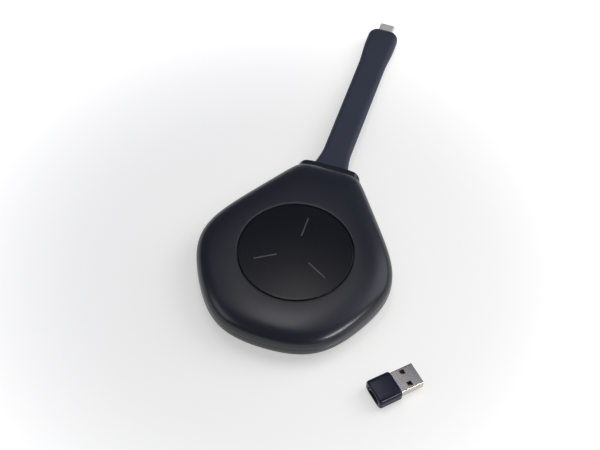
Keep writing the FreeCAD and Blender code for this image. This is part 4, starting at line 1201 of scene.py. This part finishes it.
def tube_shell(name, width, height, edge, wall, start, end):
    """Thin tube along Y with a rounded rectangular section and a softened mouth."""
    inner_edge = max(edge - wall, wall / 2)
    lip = wall / 2
    rings = []
    for step in range(CORNER_STEPS + 1):
        turned_by = math.pi * step / CORNER_STEPS
        inset = wall / 2 - lip * math.cos(turned_by)
        share = inset / wall
        ring_edge = blended(edge, inner_edge, share)
        y = end - lip + lip * math.sin(turned_by)
        rings.append(spread(oblong(width - 2 * inset, height - 2 * inset, ring_edge, y)))
    rings.append(spread(oblong(width - 2 * wall, height - 2 * wall, inner_edge, start)))
    rings.append(spread(oblong(width, height, edge, start)))
    return lofted(name, rings, cyclic=True)


def usb_c_shell():
    """USB-C plug shell at the tail's tip."""
    sizes = bpy.context.scene.dongle_tail
    shell = tube_shell(
        "tail_plug_shell",
        sizes.plug_width,
        sizes.plug_height,
        sizes.plug_height / 2,
        sizes.plug_wall,
        sizes.grip_end - sizes.plug_buried,
        sizes.grip_end + sizes.plug_length,
    )
    shell.data.transform(hang_matrix())
    return shell


class DONGLE_OT_tail(bpy.types.Operator):
    """Model the tail, its collar and its plug"""

    bl_idname = "dongle.tail"
    bl_label = "Tail"

    def execute(self, context):
        dressed(collar_ring(), ground_abs(), "housing", "gloss_trim", "tail_collar")
        moulding = tail_moulding()
        nodes = ("tail_boot", "tail_strap", "plug_overmold")
        dressed(moulding, moulded_elastomer(), None, "tail_elastomer", *nodes)
        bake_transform(moulding)
        # the tail's plug takes the nickel painted pale, as a painted sheen
        dressed(usb_c_shell(), pale_sheen_nickel(), "tail", "plated_steel", "plug_shell")
        return {"FINISHED"}


# Adapter


def lay_matrix():
    """From the adapter's own axis, with its plug along +Y, to where it lies."""
    sizes = bpy.context.scene.dongle_adapter
    place = Matrix.Translation((sizes.place_x, sizes.place_y, 0))
    return place @ Matrix.Rotation(sizes.heading - math.pi / 2, 4, "Z")


def adapter_body():
    """Adapter's body: rounded on all edges, with the socket's mouth at its back."""
    sizes = bpy.context.scene.dongle_adapter
    level = sizes.thickness / 2
    sections = []
    for step in range(ADAPTER_CORNER_STEPS + 1):
        turned_by = math.pi / 2 * step / ADAPTER_CORNER_STEPS
        depth = sizes.corner * (1 - math.sin(turned_by))
        pulled = sizes.corner * (1 - math.cos(turned_by))
        sections.append((depth, pulled))
    port = (sizes.port_width, sizes.port_height, sizes.port_height / 2)
    mouth_height = sizes.port_height + 2 * sizes.port_mouth
    mouth = (sizes.port_width + 2 * sizes.port_mouth, mouth_height, mouth_height / 2)
    plug = (sizes.plug_width, sizes.plug_height, sizes.plug_edge)
    back = -sizes.body_length
    front = back + sizes.port_inset
    socket = ((port, front + sizes.port_depth), (port, front), (mouth, front), (mouth, back))
    rings = [spread(oblong(*section, y, level)) for section, y in socket]
    rings += [end_section(back + depth, pulled) for depth, pulled in sections[::-1]]
    rings += [end_section(-depth, pulled) for depth, pulled in sections]
    rings += [spread(oblong(*plug, y, level)) for y in (0.0, -sizes.plug_buried)]
    body = lofted("adapter_body", rings)
    body.data.transform(lay_matrix())
    return body


def end_section(y, pulled):
    """Section of the adapter's body near an end, drawn in by pulled at its corners."""
    sizes = bpy.context.scene.dongle_adapter
    width = sizes.width - 2 * pulled
    height = sizes.thickness - 2 * pulled * sizes.end_edge / sizes.corner
    return spread(oblong(width, height, sizes.edge, y, sizes.thickness / 2))


def adapter_tube(name, width, height, edge, wall, start, end):
    """Tube of the adapter, at its level."""
    shell = tube_shell(name, width, height, edge, wall, start, end)
    shell.data.transform(Matrix.Translation((0, 0, bpy.context.scene.dongle_adapter.thickness / 2)))
    return shell


def usb_a_shell():
    """USB-A plug shell with its four latch windows."""
    sizes = bpy.context.scene.dongle_adapter
    shell = adapter_tube(
        "adapter_plug_shell_drawn",
        sizes.plug_width,
        sizes.plug_height,
        sizes.plug_edge,
        sizes.plug_wall,
        -sizes.plug_buried,
        sizes.plug_length,
    )
    tools = []
    half = Vector((sizes.window_width / 2, sizes.window_length / 2, sizes.plug_wall))
    y = sizes.plug_length - sizes.window_from_tip
    for side in (-1, 1):
        for face in (-1, 1):
            x = side * sizes.window_spacing / 2
            z = sizes.thickness / 2 + face * (sizes.plug_height - sizes.plug_wall) / 2
            middle = Vector((x, y, z))
            tools.append(boxed("window", middle - half, middle + half))
    combined(shell, joined(tools), "DIFFERENCE")
    shell.data.transform(lay_matrix())
    return evened(shell)


def port_shell():
    """Shell of the adapter's socket."""
    sizes = bpy.context.scene.dongle_adapter
    start = -sizes.body_length + sizes.port_inset
    shell = adapter_tube(
        "adapter_socket_shell",
        sizes.port_width,
        sizes.port_height,
        sizes.port_height / 2,
        sizes.port_wall,
        start + sizes.port_depth,
        start,
    )
    shell.data.transform(lay_matrix())
    return shell


class DONGLE_OT_adapter(bpy.types.Operator):
    """Model the loose adapter's body, plug shell and socket shell"""

    bl_idname = "dongle.adapter"
    bl_label = "Adapter"

    def execute(self, context):
        dressed(adapter_body(), moulded_adapter_abs(), "adapter", "housing_plastic", "adapter_housing")
        dressed(usb_a_shell(), nickel_plated_steel(), "adapter", "plated_steel", "adapter_plug_shell")
        # the socket's shell takes nickel painted dark, as the painted shade inside the socket
        dressed(port_shell(), shaded_socket_nickel(), "adapter", "plated_steel", "adapter_port_shell")
        return {"FINISHED"}


# Fasteners and leads


def tree_with(name, inputs):
    """Geometry Nodes tree with named inputs, its input node and its output node."""
    tree = bpy.data.node_groups.new(name, "GeometryNodeTree")
    tree.interface.new_socket("Geometry", in_out="INPUT", socket_type="NodeSocketGeometry")
    for label, kind in inputs:
        tree.interface.new_socket(label, in_out="INPUT", socket_type=kind)
    tree.interface.new_socket("Geometry", in_out="OUTPUT", socket_type="NodeSocketGeometry")
    return tree, add(tree, "NodeGroupInput").outputs, add(tree, "NodeGroupOutput")


def realized(tree, geometry, given, output):
    """Ends a tree: real geometry with its material."""
    real = add(tree, "GeometryNodeRealizeInstances", {"Geometry": geometry}).outputs["Geometry"]
    painted = add(tree, "GeometryNodeSetMaterial", {"Geometry": real, "Material": given["Material"]})
    tree.links.new(painted.outputs["Geometry"], output.inputs["Geometry"])


def lifted(tree, mesh, height):
    """Mesh moved along Z by a socket's value."""
    up = add(tree, "ShaderNodeCombineXYZ", {"Z": height}).outputs["Vector"]
    return add(tree, "GeometryNodeTransform", {"Geometry": mesh, "Translation": up}).outputs["Geometry"]


def screw_values(head_radius, head_height, shank_radius, shank_length, turned_by):
    """What one size of screw gives to the screws' tree."""
    sizes = bpy.context.scene.dongle_fasteners
    base = head_height * HEAD_BASE
    return {
        "Head radius": head_radius,
        "Head height": head_height,
        "Base height": base,
        "Crown height": head_height - base,
        "Crown radius": head_radius * HEAD_CROWN,
        "Shank radius": shank_radius,
        "Tip radius": shank_radius * SHANK_TIP,
        "Length": shank_length,
        "Shank end": -shank_length,
        "Recess width": sizes.recess_width,
        "Recess length": head_radius * RECESS_REACH,
        "Recess height": 2 * sizes.recess_depth,
        "Turn": turned_by,
        "Material": inner_finish("screw_steel"),
    }


def screw_tree(labels):
    """Pan head screws with a cross recess at the points of a mesh, heads up unless turned over."""
    inputs = [(label, "NodeSocketFloat") for label in labels if label != "Material"]
    tree, given, output = tree_with("Pan head screws", inputs + [("Material", "NodeSocketMaterial")])
    cones = (
        (HEAD_SIDES, "Head radius", "Head radius", "Base height"),
        (HEAD_SIDES, "Crown radius", "Head radius", "Crown height"),
        (SHANK_SIDES, "Shank radius", "Tip radius", "Length"),
    )
    parts = []
    for sides, top, bottom, height in cones:
        values = {
            "Vertices": sides,
            "Radius Top": given[top],
            "Radius Bottom": given[bottom],
            "Depth": given[height],
        }
        parts.append(add(tree, "GeometryNodeMeshCone", values).outputs["Mesh"])
    parts[1] = lifted(tree, parts[1], given["Base height"])
    parts[2] = lifted(tree, parts[2], given["Shank end"])
    solid = add(tree, "GeometryNodeMeshBoolean", operation="UNION", solver="EXACT")
    for part in parts:
        tree.links.new(part, solid.inputs["Mesh 2"])
    recessed = add(tree, "GeometryNodeMeshBoolean", operation="DIFFERENCE", solver="EXACT")
    tree.links.new(solid.outputs["Mesh"], recessed.inputs["Mesh 1"])
    for across, along in (("Recess width", "Recess length"), ("Recess length", "Recess width")):
        values = {"X": given[across], "Y": given[along], "Z": given["Recess height"]}
        size = add(tree, "ShaderNodeCombineXYZ", values).outputs["Vector"]
        bar = add(tree, "GeometryNodeMeshCube", {"Size": size}).outputs["Mesh"]
        tree.links.new(lifted(tree, bar, given["Head height"]), recessed.inputs["Mesh 2"])
    tilt = add(tree, "ShaderNodeCombineXYZ", {"X": given["Turn"]}).outputs["Vector"]
    placed = add(
        tree,
        "GeometryNodeInstanceOnPoints",
        {"Points": given["Geometry"], "Instance": recessed.outputs["Mesh"], "Rotation": tilt},
    ).outputs["Instances"]
    realized(tree, placed, given, output)
    return tree


def lead_tree():
    """Round leads along Y, side by side."""
    inputs = [(label, "NodeSocketFloat") for label in ("First", "Pitch", "Radius", "Length")]
    inputs += [("Count", "NodeSocketInt"), ("Material", "NodeSocketMaterial")]
    tree, given, output = tree_with("Round leads", inputs)
    lead = add(
        tree,
        "GeometryNodeMeshCylinder",
        {"Vertices": LEAD_SIDES, "Radius": given["Radius"], "Depth": given["Length"]},
    ).outputs["Mesh"]
    laid = add(tree, "GeometryNodeTransform", {"Geometry": lead, "Rotation": (math.pi / 2, 0, 0)})
    first = add(tree, "ShaderNodeCombineXYZ", {"X": given["First"]}).outputs["Vector"]
    step = add(tree, "ShaderNodeCombineXYZ", {"X": given["Pitch"]}).outputs["Vector"]
    line = add(
        tree, "GeometryNodeMeshLine", {"Count": given["Count"], "Start Location": first, "Offset": step}
    ).outputs["Mesh"]
    row = add(
        tree, "GeometryNodeInstanceOnPoints", {"Points": line, "Instance": laid.outputs["Geometry"]}
    ).outputs["Instances"]
    realized(tree, row, given, output)
    return tree


def grown(name, tree, values, points=(Vector(),), place=Matrix.Identity(4)):
    """Object made by a tree on a few points, as a plain mesh in its place."""
    mesh = bpy.data.meshes.new(name)
    mesh.from_pydata(list(points), [], [])
    obj = linked(name, mesh)
    modifier = obj.modifiers.new(tree.name, "NODES")
    modifier.node_group = tree
    for item in tree.interface.items_tree:
        if item.item_type == "SOCKET" and item.in_out == "INPUT" and item.name in values:
            modifier[item.identifier] = values[item.name]
    plain_mesh(obj)
    obj.data.transform(place)
    for face in obj.data.polygons:
        face.use_smooth = True
    obj.data.set_sharp_from_angle(angle=SHARP_ANGLE)
    return obj


class DONGLE_OT_fasteners(bpy.types.Operator):
    """Grow the screws and the tail's leads"""

    bl_idname = "dongle.fasteners"
    bl_label = "Screws and leads"

    def execute(self, context):
        sizes = context.scene.dongle_fasteners
        steel = inner_finish("screw_steel")
        large = screw_values(
            sizes.head_radius, sizes.head_height, sizes.screw_radius, sizes.screw_length, math.pi
        )
        small = screw_values(
            sizes.small_head_radius, sizes.small_head_height, sizes.small_radius, sizes.small_length, 0.0
        )
        screws = screw_tree(large)
        covers = screw_places(sizes.screw_orbit, COVER_SCREW_ANGLES)
        boards = screw_places(sizes.board_orbit, BOARD_SCREW_ANGLES)
        clamp_top = sizes.clamp_bottom + sizes.clamp_thickness
        rows = (
            ("cover_screw_set", "cover_screws", large, covers, sizes.screw_seat),
            ("board_screw_set", "board_screws", small, boards, sizes.board_top),
            ("clamp_screw_set", "clamp_screws", small, clamp_screw_places(), clamp_top),
        )
        for name, node, values, places, seat in rows:
            points = [place + Vector((0, 0, seat)) for place in places]
            dressed(grown(name, screws, values, points), steel, "housing", "screw_steel", node)
        insulation = inner_finish("lead_insulation")
        leads_low, leads_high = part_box("tail_leads")
        values = {
            "Count": sizes.lead_count,
            "First": -(sizes.lead_count - 1) / 2 * sizes.lead_pitch,
            "Pitch": sizes.lead_pitch,
            "Radius": sizes.lead_radius,
            "Length": leads_high.y - leads_low.y,
            "Material": insulation,
        }
        middle = Matrix.Translation((leads_low + leads_high) / 2)
        leads = grown("tail_lead_row", lead_tree(), values, place=middle)
        dressed(leads, insulation, "housing", "lead_insulation", "tail_leads")
        return {"FINISHED"}


# What is inside, carried over from the frame

INNER_NODES = {
    "plated_steel": ("shield_can", "antenna_left", "antenna_right", "tail_clamp"),
    "spreader_aluminium": ("heat_spreader",),
    "pcb": ("main_board", "plug_board", "adapter_board"),
    "chip_epoxy": ("processor_chip", "radio_chip", "flash_chip"),
    "ferrite": ("power_inductor",),
    "thermal_silicone": ("thermal_pad",),
    "led_white": ("indicator_leds",),
    "connector_plastic": ("cable_header", "cable_plug"),
    "black_insulator": (
        "tact_switch",
        "switch_stem",
        "plug_insulator",
        "adapter_port_tongue",
        "adapter_plug_insulator",
    ),
    "gold_contact": ("plug_contacts", "adapter_port_contacts", "adapter_plug_contacts"),
}


def finish_node(name, material):
    """Gives a carried-over CAD node its finish."""
    for slot in frame["nodes"][name].material_slots:
        slot.material = material


class DONGLE_OT_internals(bpy.types.Operator):
    """Finish the pieces inside that keep their constructed shape"""

    bl_idname = "dongle.internals"
    bl_label = "Inner pieces"

    def execute(self, context):
        for slot, nodes in INNER_NODES.items():
            for name in nodes:
                finish_node(name, inner_finish(slot))
        return {"FINISHED"}


# Stage

WHITE = "#ffffff"

# Lamps: name, place, aim, width, depth, power, colour and whether it casts shadows
LAMPS = (
    # long and narrow, high over the far side
    ("overhead", (-0.12, 0.29, 1.08), (-0.12, 0.29, 0), 0.1, 0.54, 1.05, "#fff7ef", True),
    # wide and dim, at the same height: soft light from above
    ("ceiling", (-0.12, 0.3, 1.1), (-0.12, 0.3, 0), 1.5, 0.6, 1.3, "#f6f6ff", True),
    # low at the left, towards the front, and only fills
    ("left_panel", (-0.72, -0.4, 0.52), (0, 0, 0.02), 0.6, 0.4, 1.1, WHITE, False),
    # thin strip low at the right, towards the front, and only fills
    ("right_strip", (0.8, -0.31, 0.45), (0, 0, 0.02), 0.44, 0.12, 4.2, WHITE, False),
    # large and bright, at the back right
    ("right_back", (0.66, 0.56, 0.66), (0, 0, 0.02), 0.8, 0.8, 3.7, "#f4f6ff", True),
)


def softbox(name, place, aim, width, depth, power, colour, shades):
    """Rectangular lamp that points at aim. One that doesn't cast shadows only fills."""
    lamp = bpy.data.lights.new(name, "AREA")
    lamp.shape = "RECTANGLE"
    lamp.size = width
    lamp.size_y = depth
    lamp.energy = power
    lamp.color = linear(colour)[:3]
    lamp.use_shadow = shades
    holder = linked(name, lamp)
    holder.location = place
    holder.rotation_euler = (Vector(aim) - Vector(place)).to_track_quat("-Z", "Y").to_euler()


def white_sweep():
    """Floor of white paper: it keeps shadows near the object and fades to full white far from it."""
    stage = bpy.context.scene.dongle_stage
    mesh = bpy.data.meshes.new("floor")
    half = 3.0
    below = -0.1 * MM
    corners = ((-half, -half), (half, -half), (half, half), (-half, half))
    mesh.from_pydata([(x, y, below) for x, y in corners], [], [(0, 1, 2, 3)])
    floor = linked("floor", mesh)
    material = bpy.data.materials.new("matt_white_paper")
    material.use_nodes = True
    tree = material.node_tree
    tree.nodes.clear()
    paper = add(tree, "ShaderNodeBsdfDiffuse", {"Color": linear(stage.paper)}).outputs["BSDF"]
    place = add(tree, "ShaderNodeTexCoord").outputs["Object"]
    away = add(tree, "ShaderNodeVectorMath", {0: place}, operation="LENGTH").outputs["Value"]
    span = {"From Min": stage.glow_start, "From Max": stage.glow_end}
    span |= {"To Min": stage.glow_least, "To Max": 1.0}
    fade = add(tree, "ShaderNodeMapRange", {"Value": away} | span, interpolation_type="SMOOTHSTEP")
    glow = add(tree, "ShaderNodeEmission", {"Color": linear(WHITE), "Strength": fade.outputs["Result"]})
    rays = add(tree, "ShaderNodeLightPath").outputs
    seen = rays["Is Camera Ray"]
    for kind in ("Is Glossy Ray", "Is Transmission Ray"):
        seen = add(tree, "ShaderNodeMath", {0: seen, 1: rays[kind]}, operation="MAXIMUM").outputs[0]
    lit = add(tree, "ShaderNodeAddShader", {0: paper, 1: glow.outputs["Emission"]}).outputs["Shader"]
    mixed = add(tree, "ShaderNodeMixShader", {0: seen, 1: paper, 2: lit})
    output = add(tree, "ShaderNodeOutputMaterial")
    tree.links.new(mixed.outputs["Shader"], output.inputs["Surface"])
    mesh.materials.append(material)
    return floor


def pale_world():
    """Dim even light from all round, white where the camera sees past the floor."""
    stage = bpy.context.scene.dongle_stage
    world = bpy.data.worlds.new("studio")
    world.use_nodes = True
    tree = world.node_tree
    tree.nodes.clear()
    rays = add(tree, "ShaderNodeLightPath").outputs
    even = {"Color": linear(stage.sky), "Strength": stage.sky_strength}
    dim = add(tree, "ShaderNodeBackground", even)
    white = add(tree, "ShaderNodeBackground", {"Color": linear(WHITE), "Strength": 1.0})
    mixed = add(
        tree,
        "ShaderNodeMixShader",
        {0: rays["Is Camera Ray"], 1: dim.outputs["Background"], 2: white.outputs["Background"]},
    )
    output = add(tree, "ShaderNodeOutputWorld")
    tree.links.new(mixed.outputs["Shader"], output.inputs["Surface"])
    bpy.context.scene.world = world


def place_camera():
    """Camera at the photograph's angle, rolled slightly as the photograph is."""
    stage = bpy.context.scene.dongle_stage
    right = Vector((math.cos(stage.azimuth), math.sin(stage.azimuth), 0))
    level = Vector((math.sin(stage.azimuth), -math.cos(stage.azimuth), 0))
    back = level * math.cos(stage.elevation) + Vector((0, 0, math.sin(stage.elevation)))
    up = back.cross(right)
    rolled_right = right * math.cos(stage.roll) + up * math.sin(stage.roll)
    rolled_up = up * math.cos(stage.roll) - right * math.sin(stage.roll)
    lens = bpy.data.cameras.new("camera")
    lens.sensor_width = stage.sensor
    lens.lens = stage.lens
    lens.clip_start = 0.01
    lens.clip_end = 50.0
    camera = linked("camera", lens)
    turned_by = Matrix((rolled_right, rolled_up, back)).transposed().to_4x4()
    camera.matrix_world = Matrix.Translation(Vector(stage.target) + back * stage.distance) @ turned_by
    bpy.context.scene.camera = camera


class DONGLE_OT_stage(bpy.types.Operator):
    """Set up the floor, the lamps, the world and the camera"""

    bl_idname = "dongle.stage"
    bl_label = "Stage"

    def execute(self, context):
        place_camera()
        white_sweep()
        pale_world()
        for lamp in LAMPS:
            softbox(*lamp)
        context.scene.view_settings.view_transform = "Standard"
        return {"FINISHED"}


# Panel and registration


class DONGLE_PT_sidebar(bpy.types.Panel):
    """Sizes and pieces of the dongle"""

    bl_idname = "DONGLE_PT_sidebar"
    bl_label = "Screen sharing dongle"
    bl_space_type = "VIEW_3D"
    bl_region_type = "UI"
    bl_category = "Dongle"

    def draw(self, context):
        for operator in OPERATORS:
            self.layout.operator(operator.bl_idname)
        for group_name, group in SIZE_GROUPS.items():
            box = self.layout.box()
            box.label(text=group_name.replace("_", " ").capitalize())
            for name in group.__annotations__:
                box.prop(getattr(context.scene, group_name), name)


OPERATORS = (
    DONGLE_OT_stage,
    DONGLE_OT_housing,
    DONGLE_OT_button,
    DONGLE_OT_tail,
    DONGLE_OT_adapter,
    DONGLE_OT_fasteners,
    DONGLE_OT_internals,
)


def register():
    """Adds the sizes, the operators and the panel."""
    for name, group in SIZE_GROUPS.items():
        bpy.utils.register_class(group)
        setattr(bpy.types.Scene, name, bpy.props.PointerProperty(type=group))
    for operator in OPERATORS:
        bpy.utils.register_class(operator)
    bpy.utils.register_class(DONGLE_PT_sidebar)


def unregister():
    """Takes them away again."""
    bpy.utils.unregister_class(DONGLE_PT_sidebar)
    for operator in reversed(OPERATORS):
        bpy.utils.unregister_class(operator)
    for name, group in reversed(SIZE_GROUPS.items()):
        delattr(bpy.types.Scene, name)
        bpy.utils.unregister_class(group)


def main():
    """Makes the whole dongle."""
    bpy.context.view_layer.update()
    register()
    bpy.ops.dongle.stage()
    bpy.ops.dongle.housing()
    bpy.ops.dongle.button()
    bpy.ops.dongle.tail()
    bpy.ops.dongle.adapter()
    bpy.ops.dongle.fasteners()
    bpy.ops.dongle.internals()


if __name__ == "__main__":
    main()
